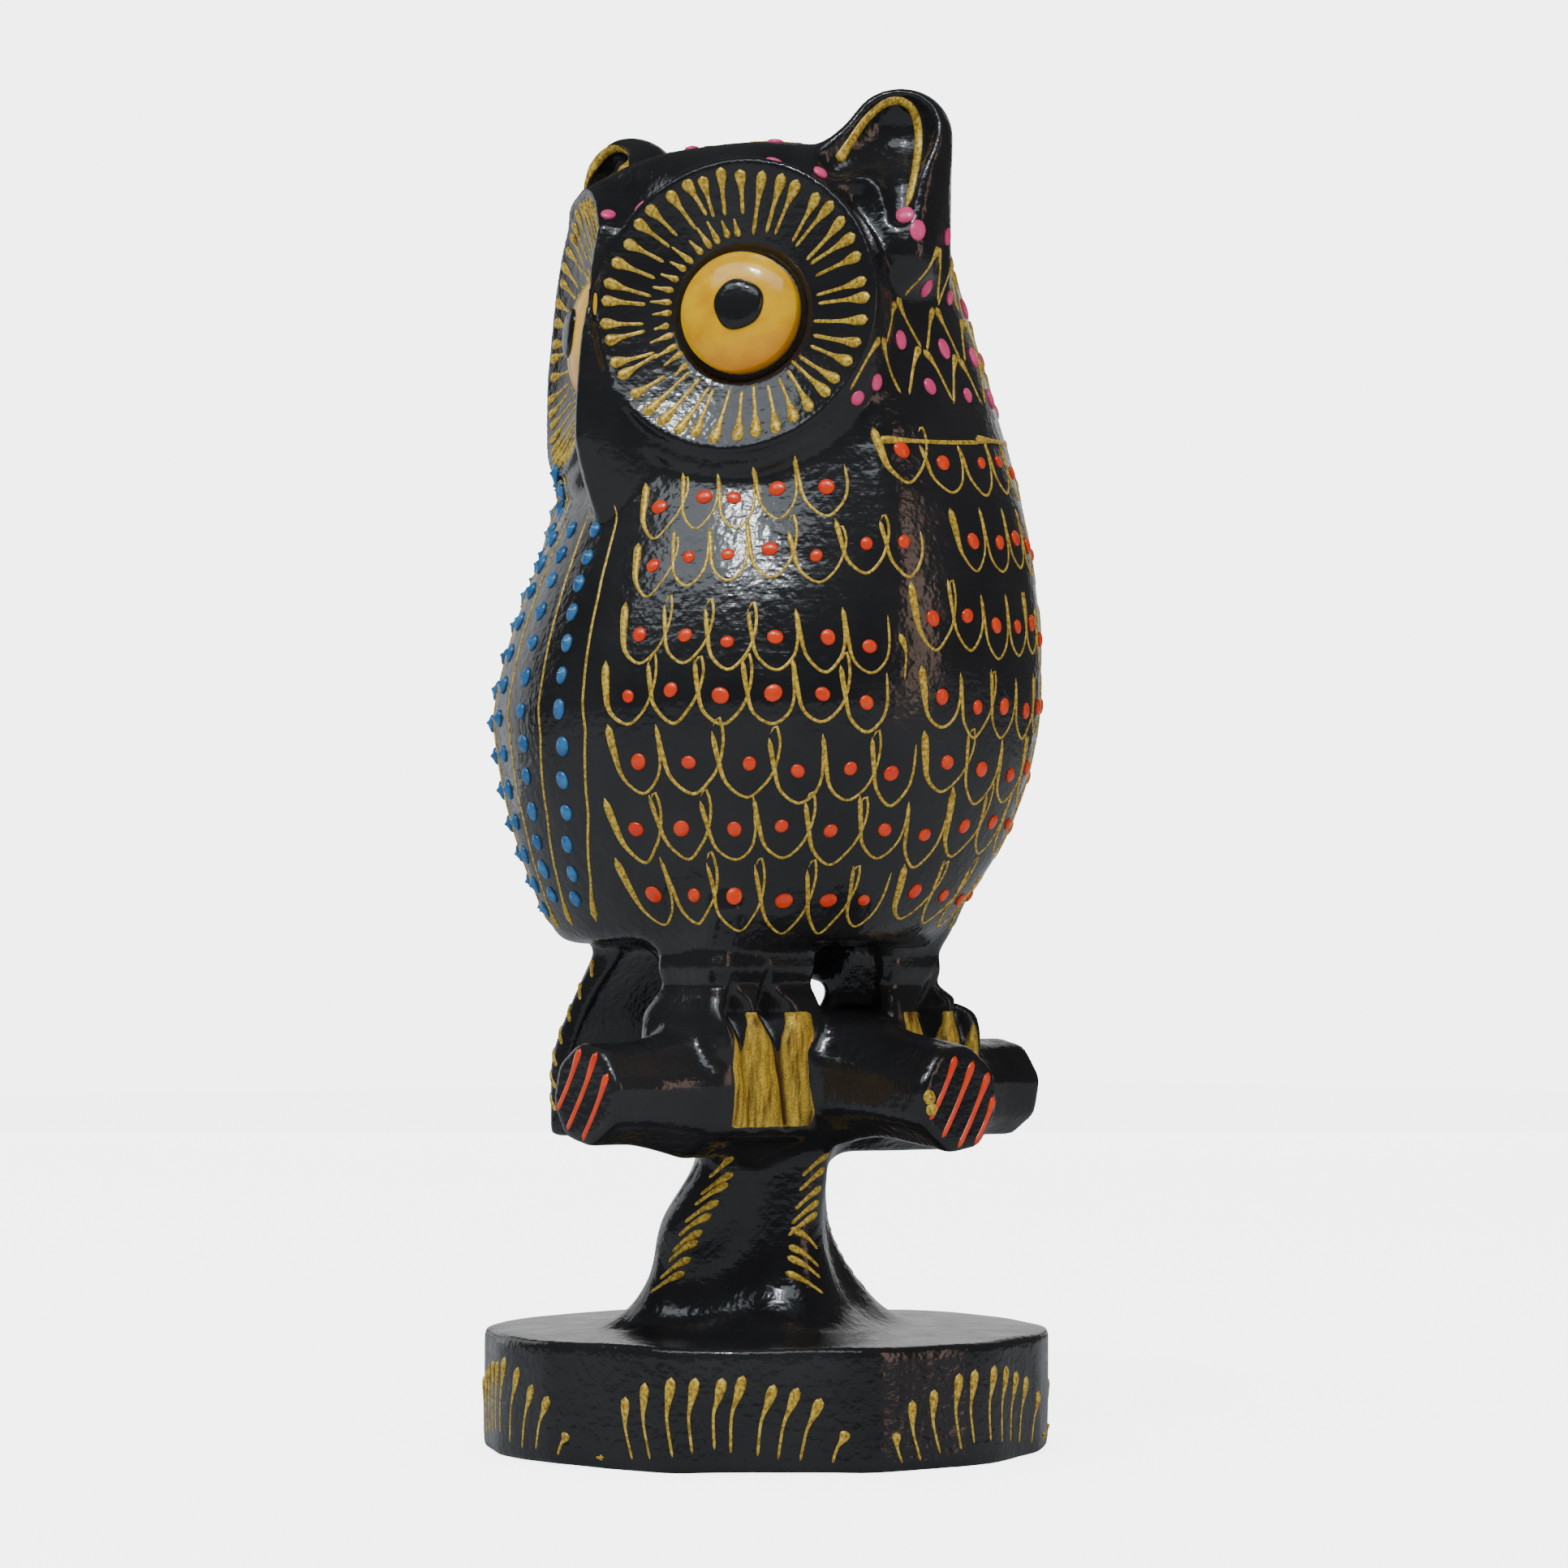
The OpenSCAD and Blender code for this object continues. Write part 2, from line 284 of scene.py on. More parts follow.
def lip(side, x, y, z):
    """The ledge under a disc: a lower and slightly larger step."""
    r, w = from_lip(side, x, y, z)
    return smooth_max(r - LIP_R, np.maximum(w + 1.7, -w - 9), 0.9)


def neck_cut(x, y, z):
    """What is cut away under both lips, down to the drawn-in chest."""
    r = np.minimum(from_lip(RIGHT, x, y, z)[0], from_lip(LEFT, x, y, z)[0])
    spare = 0.35 + 6 * ease((z - 109) / 9) + 2 * ease((99 - z) / 6)
    return smooth_max(LIP_R - 0.1 - r,
                      pear_radius(x, y, z) + spare - np.sqrt(x * x + y * y), 1.0)


def in_front_of_face(side, x, y, z):
    return -on_disc(side, x, y, z)[2] - 0.9


def dish(side, x, y, z):
    """What is hollowed out of a disc: a cone, with a groove around the eye."""
    u, v, w = on_disc(side, x, y, z)
    r = np.sqrt(u * u + (v + EYE_DROP * 0.5) ** 2)
    inner, outer = EYE_R + 0.3, DISC_R - 0.45
    depth = 0.25 + (DISH_DEPTH - 0.25) * np.clip((outer - r) / (outer - inner), 0, 1) ** 0.85
    cone = smooth_max(-(w + depth) * 0.92, r - outer, 0.35)
    eye_gap = np.sqrt(u * u + (v + EYE_DROP) ** 2) - (EYE_R + 0.25)
    groove = np.sqrt(eye_gap ** 2 + (w + DISH_DEPTH) ** 2) - 0.75
    return np.minimum(cone, groove)


BEAK_TOP, BEAK_LOW = 137.5, box_mm("beak")[0][2]


def beak(x, y, z):
    """A wedge with its edge along the ridge of the face and a flat-cut tip."""
    down = np.clip((BEAK_TOP - z) / (BEAK_TOP - BEAK_LOW), 0, 1)
    edge = -25.0 - 3.3 * np.sin(math.pi * 0.5 * np.clip(down * 1.35, 0, 1)) \
        + 3.4 * np.clip((down - 0.72) / 0.28, 0, 1) ** 1.3
    steep = 1.2 + 0.7 * down
    flank = (np.abs(y) - (x - edge) * steep - 0.25) / np.sqrt(1 + steep * steep)
    spread = 0.42 + 0.45 * ease((down - 0.5) / 0.5)
    wide = (np.abs(y) - (1.1 + 1.2 * down + spread * np.maximum(x - edge - 1.2, 0))) * 0.85
    bottom = BEAK_LOW - z - 0.35 * (x + 24.5)
    return smooth_max(smooth_max(flank, np.maximum(bottom, z - BEAK_TOP), 0.5),
                      np.maximum(wide, x + 17), 0.8)


EAR_LEAN = 0.3                                # how far an ear's hollow looks up
EAR_AZIMUTH = {LEFT: -44, RIGHT: -76}
EAR_SHIFT = {LEFT: 0.0, RIGHT: -3.9}          # the head is turned a touch past a quarter turn
EAR_FACING = {s: aim(a) * math.cos(EAR_LEAN) + np.array([0, 0, math.sin(EAR_LEAN)])
              for s, a in EAR_AZIMUTH.items()}


def ear(side, x, y, z):
    """A hood: a thick back, a front rim that rises from the brow and an outer rim."""
    x = x - EAR_SHIFT[side]
    tip = (1.9, side * 21.0, EAR_TIP - 4.7)
    back = capsule(x, y, z, (2.6, side * 17.6, 134.0), tip, 7.2, 5.3)
    front = capsule(x, y, z, (-7.2, side * 17.0, 141.4), (-0.4, side * 20.8, EAR_TIP - 4.4),
                    3.0, 4.0)
    outer = capsule(x, y, z, (-0.6, side * 23.0, 133.5), (1.2, side * 22.2, EAR_TIP - 6.5),
                    4.0, 4.0)
    return smooth_min(smooth_min(back, front, 2.0), outer, 2.0)


def ear_hollow(side, x, y, z):
    """A drop-shaped scoop, wide under the tip and narrow at its foot."""
    x = x - EAR_SHIFT[side]
    out = EAR_FACING[side]
    tip = np.array([0.6, side * 21.6, EAR_TIP - 4.9]) + out * 3.0
    low, lower = (14.8, 0.0) if side == LEFT else (11.0, 0.9)
    foot = np.array([-1.4, side * 23.8, EAR_TIP - low]) + out * 2.7
    brow = np.array([-5.8, side * 18.6, EAR_TIP - 8.6]) + out * 2.4
    down = capsule(x, y, z, tip, foot, 3.5, 1.7)
    across = capsule(x, y, z, tip, brow, 3.5, 2.6)
    return smooth_min(down, across, 3.5) + lower


def trunk_middle(z):
    """Where the trunk's middle lies at a height: it bends to the right and to the front."""
    rise = np.clip((z - BASE_H) / (PERCH_Z - 6 - BASE_H), 0, 1)
    return -1.6 - 1.9 * ease(rise * 1.5), -4.0 * ease(rise)


def trunk(x, y, z):
    """A flared stem with four ridges that turn as they rise."""
    middle_x, middle_y = trunk_middle(z)
    cx, cy = x - middle_x, y - middle_y
    rise = np.clip((z - BASE_H) / 22.0, -0.2, 1.2)
    r = 7.1 + 8.9 * np.exp(-(np.clip(z - BASE_H + 1.2, 0, 40) / 7.4) ** 1.2)
    azimuth = np.degrees(np.arctan2(cx, -cy))
    lobes = np.cos(np.radians(4 * (azimuth - (-112 + 34 * rise))))
    r = r * (1 + 0.095 * lobes) + 0.9 * np.clip((z - 31) / 5, 0, 1) ** 2
    to_left = np.clip(np.cos(np.radians(azimuth + 130)), 0, 1) ** 2
    r = r + 3.0 * np.exp(-((z - 26) / 6.5) ** 2) * to_left
    return smooth_max((np.sqrt(cx * cx + cy * cy) - r) * 0.8,
                      np.maximum(z - PERCH_Z, 4 - z), 1.0)


BASE_FACETS = ((-76, 31.2), (-36, 31.3), (-8, 31.6), (20, 31.7), (62, 31.6), (110, 31.4),
               (155, 31.6), (200, 31.5), (240, 31.7))


def base(x, y, z):
    """A thick disc, cut by hand, so that its rim has slight flats."""
    rim = np.sqrt(x * x + y * y) - (BASE_R - 0.1)
    for azimuth, reach in BASE_FACETS:
        d = aim(azimuth)
        rim = smooth_max(rim, x * d[0] + y * d[1] - reach, 0.25)
    rho2 = x * x + y * y
    top = z - (BASE_H - 0.55 * rho2 / BASE_R ** 2)
    return smooth_max(smooth_max(rim, top, 0.6), -z, 0.4)


def perch(x, y, z):
    """The eight-sided cross branch, whose ends are cut a little aslant."""
    root = 1.5 * np.clip((27.5 - np.abs(x)) / 8, 0, 1) ** 1.5
    sides = octagon(y - PERCH_Y, z - PERCH_Z, PERCH_R - 0.15 + root, 12)
    return smooth_max(sides, np.maximum(x - PERCH_HALF, -x - PERCH_HALF - 1.2), 0.8)


BRANCH_X = 0.8                  # the front branch grows a little off the middle


def front_branch(x, y, z):
    """The eight-sided branch to the front, thicker at its root and rising a little."""
    flare = 0.35 + 1.9 * np.clip((y + 23) / 9, 0, 1) ** 2
    rise = 0.16 * (y + 32)
    sides = octagon(x - BRANCH_X, z - BRANCH_Z - rise, BRANCH_R - 0.15 + flare, 8)
    return smooth_max(sides, np.maximum(-y - BRANCH_END, y + 6), 0.8)


FOOT_IN, FOOT_OUT = foot_low[0], foot_high[0]
FOOT_X = (FOOT_IN + FOOT_OUT) / 2
FOOT_FRONT, FOOT_TOP, FOOT_FLOOR = foot_low[1], foot_high[2], foot_low[2]
FAR_FOOT = 2.2                                        # the foot at +X stands further out
TOE_GROOVES = ((-2.3, 54.6, 2.4), (3.0, 53.8, 1.9))   # place across, top and half-width


def across_feet(x):
    """How far out a point lies, as if both feet stood alike."""
    return np.abs(x) - FAR_FOOT * (x > 0)


def knuckle(side, x, y, z):
    """The block over the perch that the toes are cut into."""
    block = rounded_box(x - side * (FOOT_X - 0.4 + FAR_FOOT * (side > 0)), y - PERCH_Y,
                        z - (FOOT_TOP + FOOT_FLOOR) / 2 - 0.2,
                        ((FOOT_OUT - FOOT_IN) / 2 + 0.9, -FOOT_FRONT + PERCH_Y, 7.3), 1.9)
    brow = (z - 48.0) * 0.64 - (y - FOOT_FRONT) * 0.77
    return smooth_max(block, brow, 1.4)


def toe_front(z):
    """Where the front of the toes lies at a height."""
    return FOOT_FRONT + 0.5 * np.clip((z - 48.0) / 1.5, 0, 1)


def toe_cuts(side, x, y, z):
    """Two V-grooves between the three toes, widest at the top of the gold."""
    cut = None
    for offset, start, wide in TOE_GROOVES:
        narrow = 1 - 0.62 * ease((49.2 - z) / 4.0)
        half_width = wide * np.clip((start - z) / (start - 49.8), 0, 1) * narrow
        place = FOOT_X + offset + 0.15 * (z - 42) + FAR_FOOT * (side > 0)
        v = np.abs(x - side * place) + (y - toe_front(z)) * 0.75 - half_width
        v = np.maximum(v * 0.7, np.maximum(36.6 - z, z - start))
        cut = v if cut is None else np.minimum(cut, v)
    return cut


def leg(side, x, y, z):
    """A short roll between two creases, above the toes and under the body."""
    roll = 0.4 * np.exp(-((z - 54.3) / 1.2) ** 2) - 0.5 * np.exp(-((z - 52.2) / 0.8) ** 2)
    swell = 2.4 * np.clip((z - 56.0) / 4, 0, 1) ** 1.4
    splay = 0.5 * np.clip(53.0 - z, 0, 6)
    front = (y < -8) * roll
    if side < 0:
        middle, half = -11.4, 7.5 + (x < -11.4) * roll + swell * 0.5 + 0.3 * splay
    else:
        middle, half = 11.2, 4.7 + (x > 11.2) * 1.3 * np.clip(52.6 - z, 0, 3.4)
    return rounded_box(x - middle, y + 7.7, z - 53,
                       (half, 5.5 + front + swell + 0.4 * splay, 9.5), 1.9)


def pelvis(x, y, z):
    """What joins the legs to the body behind their tops."""
    return rounded_box(x, y + 2.5, z - 60.2, (17.5, 11, 3.0), 2.5)


def rump(x, y, z):
    """A bar behind the legs that closes the top of the gap between them."""
    return capsule(x, y, z, (-12, -1.0, 57.5), (12, -1.0, 57.5), 4.4, 4.4)


def tail_middle(z):
    """How far down the tail a height is, and how far back the tail's middle lies there."""
    drop = np.clip((57.5 - z) / 22, -0.3, 1.1)
    return drop, 18.7 + 8.3 * np.sin(np.clip(drop * 1.35, -0.3, 1) * math.pi / 2)


def tail(x, y, z):
    """A slab that leans out from under the body and hangs straight down."""
    drop, middle = tail_middle(z)
    thick = 1.75 + 1.4 * np.clip(1 - drop * 2.2, 0, 1) ** 2
    cup = -0.012 * x * x
    across = np.abs(y - middle - cup) - thick
    half = TAIL_HALF - 0.3 - 1.9 * np.clip(1 - drop * 1.5, 0, 1)
    slab = smooth_max(across * 0.9, np.abs(x) - half, 0.9)
    return smooth_max(slab, np.maximum(tail_low[2] - z, z - 62), 0.9)


# ---------------------------------------------------------------- the clay
GRID = 0.42
CORNERS = [[(c >> b) & 1 for b in range(3)] for c in range(8)]    # of a cell of the grid


class Clay:
    """A solid held as distances on a grid, shaped by adding and cutting forms."""

    def __init__(self, low, high, step):
        self.low = np.array(low, float)
        self.step = step
        counts = np.ceil((np.array(high) - self.low) / step).astype(int) + 1
        self.axes = [(self.low[i] + step * np.arange(counts[i])).astype(np.float32)
                     for i in range(3)]
        self.d = np.full(tuple(counts), 9.0, np.float32)

    def window(self, low, high):
        cuts = tuple(slice(*np.searchsorted(self.axes[i], (low[i], high[i]))) for i in range(3))
        x = self.axes[0][cuts[0]][:, None, None]
        y = self.axes[1][cuts[1]][None, :, None]
        z = self.axes[2][cuts[2]][None, None, :]
        return cuts, x, y, z

    def add(self, shape, low, high, blend):
        cuts, x, y, z = self.window(low, high)
        self.d[cuts] = smooth_min(self.d[cuts], shape(x, y, z), blend)

    def cut(self, shape, low, high, blend):
        cuts, x, y, z = self.window(low, high)
        self.d[cuts] = smooth_max(self.d[cuts], -shape(x, y, z), blend)

    def soften(self):
        """One light blur, which rounds every edge by about a grid step."""
        for axis in range(3):
            d = np.moveaxis(self.d, axis, 0)
            d[1:-1] = (d[:-2] + 2 * d[1:-1] + d[2:]) / 4

    def sample(self, p):
        """Distance at points, between grid values."""
        q = (p - self.low) / self.step
        top = np.array(self.d.shape) - 2
        i = np.clip(np.floor(q).astype(int), 0, top)
        f = np.clip(q - i, 0, 1)
        value = 0
        for o in CORNERS:
            weight = np.prod([f[:, b] if o[b] else 1 - f[:, b] for b in range(3)], axis=0)
            value = value + weight * self.d[i[:, 0] + o[0], i[:, 1] + o[1], i[:, 2] + o[2]]
        return value

    def gradient(self, p, reach):
        g = np.empty_like(p)
        for b in range(3):
            e = np.zeros(3)
            e[b] = reach
            g[:, b] = (self.sample(p + e) - self.sample(p - e)) / (2 * reach)
        return g

    def skin(self):
        """Vertices, quads and outward normals of the surface where the distance is 0."""
        d = self.d
        inside = d < 0
        cells = np.zeros(tuple(n - 1 for n in d.shape), np.int8)
        for o in CORNERS:
            view = tuple(slice(o[b], d.shape[b] - 1 + o[b]) for b in range(3))
            cells += inside[view]
        found = np.argwhere((cells > 0) & (cells < 8))
        number = np.full(cells.shape, -1, np.int32)
        number[tuple(found.T)] = np.arange(len(found))
        values = np.stack([d[tuple((found + o).T)] for o in CORNERS], axis=1)
        total = np.zeros((len(found), 3))
        hits = np.zeros(len(found))
        for c in range(8):
            for b in range(3):
                if (c >> b) & 1:
                    continue
                v0, v1 = values[:, c], values[:, c | (1 << b)]
                crosses = (v0 < 0) != (v1 < 0)
                t = np.where(crosses, v0 / np.where(crosses, v0 - v1, 1), 0)
                corner = np.array(CORNERS[c], float)
                point = np.repeat(corner[None], len(found), 0)
                point[:, b] += t
                total += point * crosses[:, None]
                hits += crosses
        verts = self.low + self.step * (found + total / hits[:, None])
        quads = []
        for b in range(3):
            a1, a2 = (b + 1) % 3, (b + 2) % 3
            lower = inside[tuple(slice(None, -1 if i == b else None) for i in range(3))]
            upper = inside[tuple(slice(1 if i == b else 0, None) for i in range(3))]
            rising, falling = np.argwhere(lower & ~upper), np.argwhere(~lower & upper)
            for edges, order in ((rising, (0, 1, 2, 3)), (falling, (3, 2, 1, 0))):
                ring = []
                for o1, o2 in ((0, 0), (-1, 0), (-1, -1), (0, -1)):
                    cell = edges.copy()
                    cell[:, a1] += o1
                    cell[:, a2] += o2
                    ring.append(number[tuple(cell.T)])
                ring = np.stack(ring, axis=1)
                quads.append(ring[:, order])
        quads = np.concatenate(quads)
        for _ in range(2):
            g = self.gradient(verts, self.step * 0.5)
            length2 = np.maximum((g * g).sum(axis=1), 0.05)
            move = g * (self.sample(verts) / length2)[:, None]
            verts = verts - np.clip(move, -0.4 * self.step, 0.4 * self.step)
        return verts, quads, unit(self.gradient(verts, self.step * 0.9))


def waves(x, y, z, size, seed):
    """Slow random undulation between about -1 and 1, from a few crossed sines."""
    r = np.random.default_rng(seed)
    total = 0
    for _ in range(7):
        k = r.normal(size=3)
        k *= (0.6 + 0.8 * r.random()) * 2 * math.pi / size / np.linalg.norm(k)
        total = total + np.sin(k[0] * x + k[1] * y + k[2] * z + r.random() * 2 * math.pi)
    return total / 3.2


clay = Clay((-34, -34, -1.5), (34, 34, EAR_TIP + 2.5), GRID)
WHOLE = (None,)
# What is added to the clay or cut from it, for which sides, between which corners, and the blend
CARVING = (
    (clay.add, pear, WHOLE, (-34, -34, 52), (34, 34, 150), 0.5),
    (clay.add, cheek, BOTH, (-34, -34, 100), (20, 34, 150), 7.0),
    (clay.add, lip, BOTH, (-34, -34, 104), (0, 34, 132), 1.6),
    (clay.cut, in_front_of_face, BOTH, (-34, -34, 107.6), (20, 34, 152), 0.6),
    (clay.add, ear, BOTH, (-16, -34, 122), (16, 34, 156), 2.4),
    (clay.cut, ear_hollow, BOTH, (-20, -34, 130), (12, 34, 156), 0.8),
    (clay.add, disc, BOTH, (-34, -34, 106), (0, 34, 148), 0.5),
    (clay.cut, neck_cut, WHOLE, (-34, -34, 92), (12, 34, 121), 0.8),
    (clay.add, beak, WHOLE, (-32, -9, 100), (-14, 9, 140), 0.5),
    (clay.cut, dish, BOTH, (-34, -34, 108), (0, 34, 146), 0.4),
    (clay.add, pelvis, WHOLE, (-24, -22, 54), (24, 14, 66), 2.0),
    (clay.add, leg, BOTH, (-24, -22, 42), (24, 6, 66), 2.8),
    (clay.add, rump, WHOLE, (-24, -14, 46), (24, 12, 66), 2.5),
    (clay.add, tail, WHOLE, (-14, 10, 30), (14, 34, 64), 1.8),
    (clay.add, perch, WHOLE, (-34, -16, 32), (34, 2, 50), 1.2),
    (clay.add, knuckle, BOTH, (-24, -18, 32), (24, 2, 54), 2.0),
    (clay.add, front_branch, WHOLE, (-10, -34, 32), (10, -2, 50), 1.4),
    (clay.cut, toe_cuts, BOTH, (-22, -17, 35), (22, -4, 55), 0.3),
    (clay.add, base, WHOLE, (-34, -34, -1.5), (34, 34, 18), 0.5),
    (clay.add, trunk, WHOLE, (-22, -26, 3), (22, 20, 44), 2.6),
)
for step, form, sides, low, high, blend in CARVING:
    for s in sides:
        step(form if s is None else partial(form, s), low, high, blend)
gx, gy, gz = np.meshgrid(*clay.axes, indexing="ij", sparse=True)
clay.d += 0.13 * waves(gx, gy, gz, 26, 3) + 0.05 * waves(gx, gy, gz, 9, 4)
clay.d = np.maximum(clay.d, -gz).astype(np.float32)
clay.soften()
VERTS, QUADS, NORMALS = clay.skin()
tree = BVHTree.FromPolygons([tuple(v) for v in VERTS], [tuple(q) for q in QUADS])

# ---------------------------------------------------------------- materials
class Nodes:
    """A small helper around one material's node tree."""

    def __init__(self, name):
        self.mat = bpy.data.materials.new(name)
        self.mat.use_nodes = True
        self.tree = self.mat.node_tree
        self.shader = self.tree.nodes["Principled BSDF"]
        self.coords = self.add("TexCoord").outputs["Object"]

    def add(self, kind, **values):
        """A new node, with values set on its inputs by their names."""
        node = self.tree.nodes.new("ShaderNode" + kind)
        for name, value in values.items():
            node.inputs[name.replace("_", " ")].default_value = value
        return node

    def link(self, a, b):
        self.tree.links.new(a, b)

    def noise(self, scale, detail=3.0, stretch=(1, 1, 1), rough=0.55):
        mapping = self.add("Mapping", Scale=stretch)
        self.link(self.coords, mapping.inputs["Vector"])
        node = self.add("TexNoise", Scale=scale, Detail=detail, Roughness=rough)
        self.link(mapping.outputs["Vector"], node.inputs["Vector"])
        return node.outputs["Fac"]

    def ramp(self, value, stops):
        node = self.add("ValToRGB")
        marks = node.color_ramp.elements
        for mark, (position, colour) in ((marks[0], stops[0]), (marks[1], stops[-1])):
            mark.position, mark.color = position, (*colour, 1)
        for position, colour in stops[1:-1]:
            marks.new(position).color = (*colour, 1)
        self.link(value, node.inputs["Fac"])
        return node.outputs["Color"]

    def scale(self, value, low, high, from_low=0.25, from_high=0.75):
        node = self.add("MapRange", From_Min=from_low, From_Max=from_high, To_Min=low, To_Max=high)
        self.link(value, node.inputs["Value"])
        return node.outputs["Result"]

    def bump(self, heights):
        """Stacks height patterns, each with its depth in metres."""
        normal = None
        for height, depth in heights:
            node = self.add("Bump", Strength=1.0, Distance=depth)
            self.link(height, node.inputs["Height"])
            if normal is not None:
                self.link(normal, node.inputs["Normal"])
            normal = node.outputs["Normal"]
        self.link(normal, self.shader.inputs["Normal"])

    def mix(self, factor, a, b):
        """Between two colours, or between two numbers."""
        node = self.add("Mix")
        numbers = isinstance(a, float)
        if not numbers:
            node.data_type = "RGBA"
        self.link(factor, node.inputs[0])
        for value, socket in zip((a, b), node.inputs[2:4] if numbers else node.inputs[6:8]):
            if isinstance(value, float):
                socket.default_value = value
            elif isinstance(value, tuple):
                socket.default_value = (*value, 1)
            else:
                self.link(value, socket)
        return node.outputs[0 if numbers else 2]

    def attribute(self, name):
        node = self.add("Attribute")
        node.attribute_name = name
        return node.outputs["Fac"]


def lacquer_patterns(m):
    """Height patterns of brushed lacquer: slow swells, fine pimples and brush marks."""
    return [(m.noise(140, 2.0), 0.00017), (m.noise(1000, 1.5), 0.0001),
            (m.noise(600, 3.0, (0.4, 0.4, 3), 0.6), 0.00003)]


def black_lacquer():
    m = Nodes("black_lacquer")
    tint = m.ramp(m.noise(60, 4.0), [(0.3, (0.006, 0.006, 0.007)), (0.7, (0.014, 0.014, 0.015))])
    m.link(tint, m.shader.inputs["Base Color"])
    m.link(m.scale(m.noise(220, 5.0, (1, 1, 4)), 0.09, 0.24), m.shader.inputs["Roughness"])
    m.shader.inputs["IOR"].default_value = 1.5
    m.bump(lacquer_patterns(m))
    return m.mat


def gold_tint(m):
    grain = m.noise(2600, 2.0)
    return m.ramp(grain, [(0.34, (0.20, 0.115, 0.008)), (0.5, (0.42, 0.27, 0.022)),
                          (0.66, (0.62, 0.44, 0.07))])


def gold_paint():
    m = Nodes("gold_paint")
    m.link(gold_tint(m), m.shader.inputs["Base Color"])
    m.shader.inputs["Metallic"].default_value = 0.25
    m.link(m.scale(m.noise(900, 3.0), 0.25, 0.5), m.shader.inputs["Roughness"])
    m.bump([(m.noise(1800, 3.0), 0.00005)])
    return m.mat


def toe_paint():
    """Gold brushed over the toes, ragged at its edges, with black lacquer round it and painted
    shade in its grooves.
    """
    m = Nodes("toe_paint")
    ragged = m.noise(700, 4.0, (1, 1, 0.25))
    edge = m.add("Math")
    edge.operation = "MULTIPLY_ADD"
    m.link(ragged, edge.inputs[0])
    edge.inputs[1].default_value = 0.8
    m.link(m.attribute("gold"), edge.inputs[2])
    mask = m.scale(edge.outputs["Value"], 0, 1, 0.86, 0.94)
    streaks = m.scale(m.noise(1300, 4.0, (1, 1, 0.1)), 0, 1.0, 0.42, 0.66)
    foil = m.ramp(m.noise(6000, 2.0), [(0.34, (0.36, 0.21, 0.012)), (0.5, (0.58, 0.38, 0.035)),
                                       (0.66, (0.78, 0.55, 0.09))])
    brushed = m.mix(streaks, foil, (0.11, 0.055, 0.005))
    # painted shade: the gold turns dark brown in the toe grooves, behind the fronts of the toes
    brushed = m.mix(m.attribute("groove"), brushed, (0.075, 0.035, 0.004))
    m.link(m.mix(mask, (0.01, 0.01, 0.011), brushed), m.shader.inputs["Base Color"])
    m.link(m.mix(mask, 0.0, 0.5), m.shader.inputs["Metallic"])
    m.link(m.mix(mask, 0.2, 0.42), m.shader.inputs["Roughness"])
    m.bump([(m.noise(220, 2.0), 0.0002), (m.noise(900, 4.0, (1, 1, 0.15)), 0.00008)])
    return m.mat


def enamel(name, dark, light, rough=0.16):
    m = Nodes(name)
    m.link(m.ramp(m.noise(500, 3.0), [(0.3, dark), (0.7, light)]), m.shader.inputs["Base Color"])
    m.link(m.scale(m.noise(700, 2.0), rough, rough + 0.12), m.shader.inputs["Roughness"])
    m.bump([(m.noise(900, 2.0), 0.00004)])
    return m.mat


def eye_yellow():
    """Yellow enamel, with painted shade that turns it darker orange towards the lower edge of the
    dome.
    """
    m = Nodes("yellow_enamel")
    streaks = m.noise(220, 4.0, (1, 1, 1.6))
    base = m.ramp(streaks, [(0.3, (0.47, 0.215, 0.001)), (0.6, (0.60, 0.33, 0.002)),
                            (0.8, (0.62, 0.38, 0.008))])
    # painted shade: darker orange towards the dome's lower edge
    low = m.scale(m.attribute("low"), 0, 0.75, 0.35, 1.0)
    m.link(m.mix(low, base, (0.52, 0.16, 0.001)), m.shader.inputs["Base Color"])
    m.link(m.scale(m.noise(400, 3.0), 0.08, 0.22), m.shader.inputs["Roughness"])
    m.bump([(m.noise(130, 2.0), 0.00025), (m.noise(700, 3.0), 0.00003)])
    return m.mat


BLACK = black_lacquer()
GOLD = gold_paint()
TOES = toe_paint()
ORANGE = enamel("orange_enamel", (0.48, 0.016, 0.0015), (0.60, 0.045, 0.002))
PINK = enamel("pink_enamel", (0.44, 0.025, 0.11), (0.58, 0.06, 0.17))
BLUE = enamel("blue_enamel", (0.006, 0.055, 0.18), (0.03, 0.15, 0.32), 0.2)
YELLOW = eye_yellow()


def floor_paper():
    m = Nodes("floor_paper")
    paper = m.ramp(m.noise(30, 2.0), [(0.3, (0.88, 0.88, 0.88)), (0.7, (0.92, 0.92, 0.92))])
    paths = m.add("LightPath")
    m.link(m.mix(paths.outputs["Is Glossy Ray"], paper, (0.28, 0.29, 0.30)),
           m.shader.inputs["Base Color"])
    m.shader.inputs["Emission Color"].default_value = DAYLIGHT
    m.link(m.mix(paths.outputs["Is Camera Ray"], 0.0, FLOOR_GLOW),
           m.shader.inputs["Emission Strength"])
    m.shader.inputs["Roughness"].default_value = 0.8
    return m.mat


floor_mesh.materials.append(floor_paper())


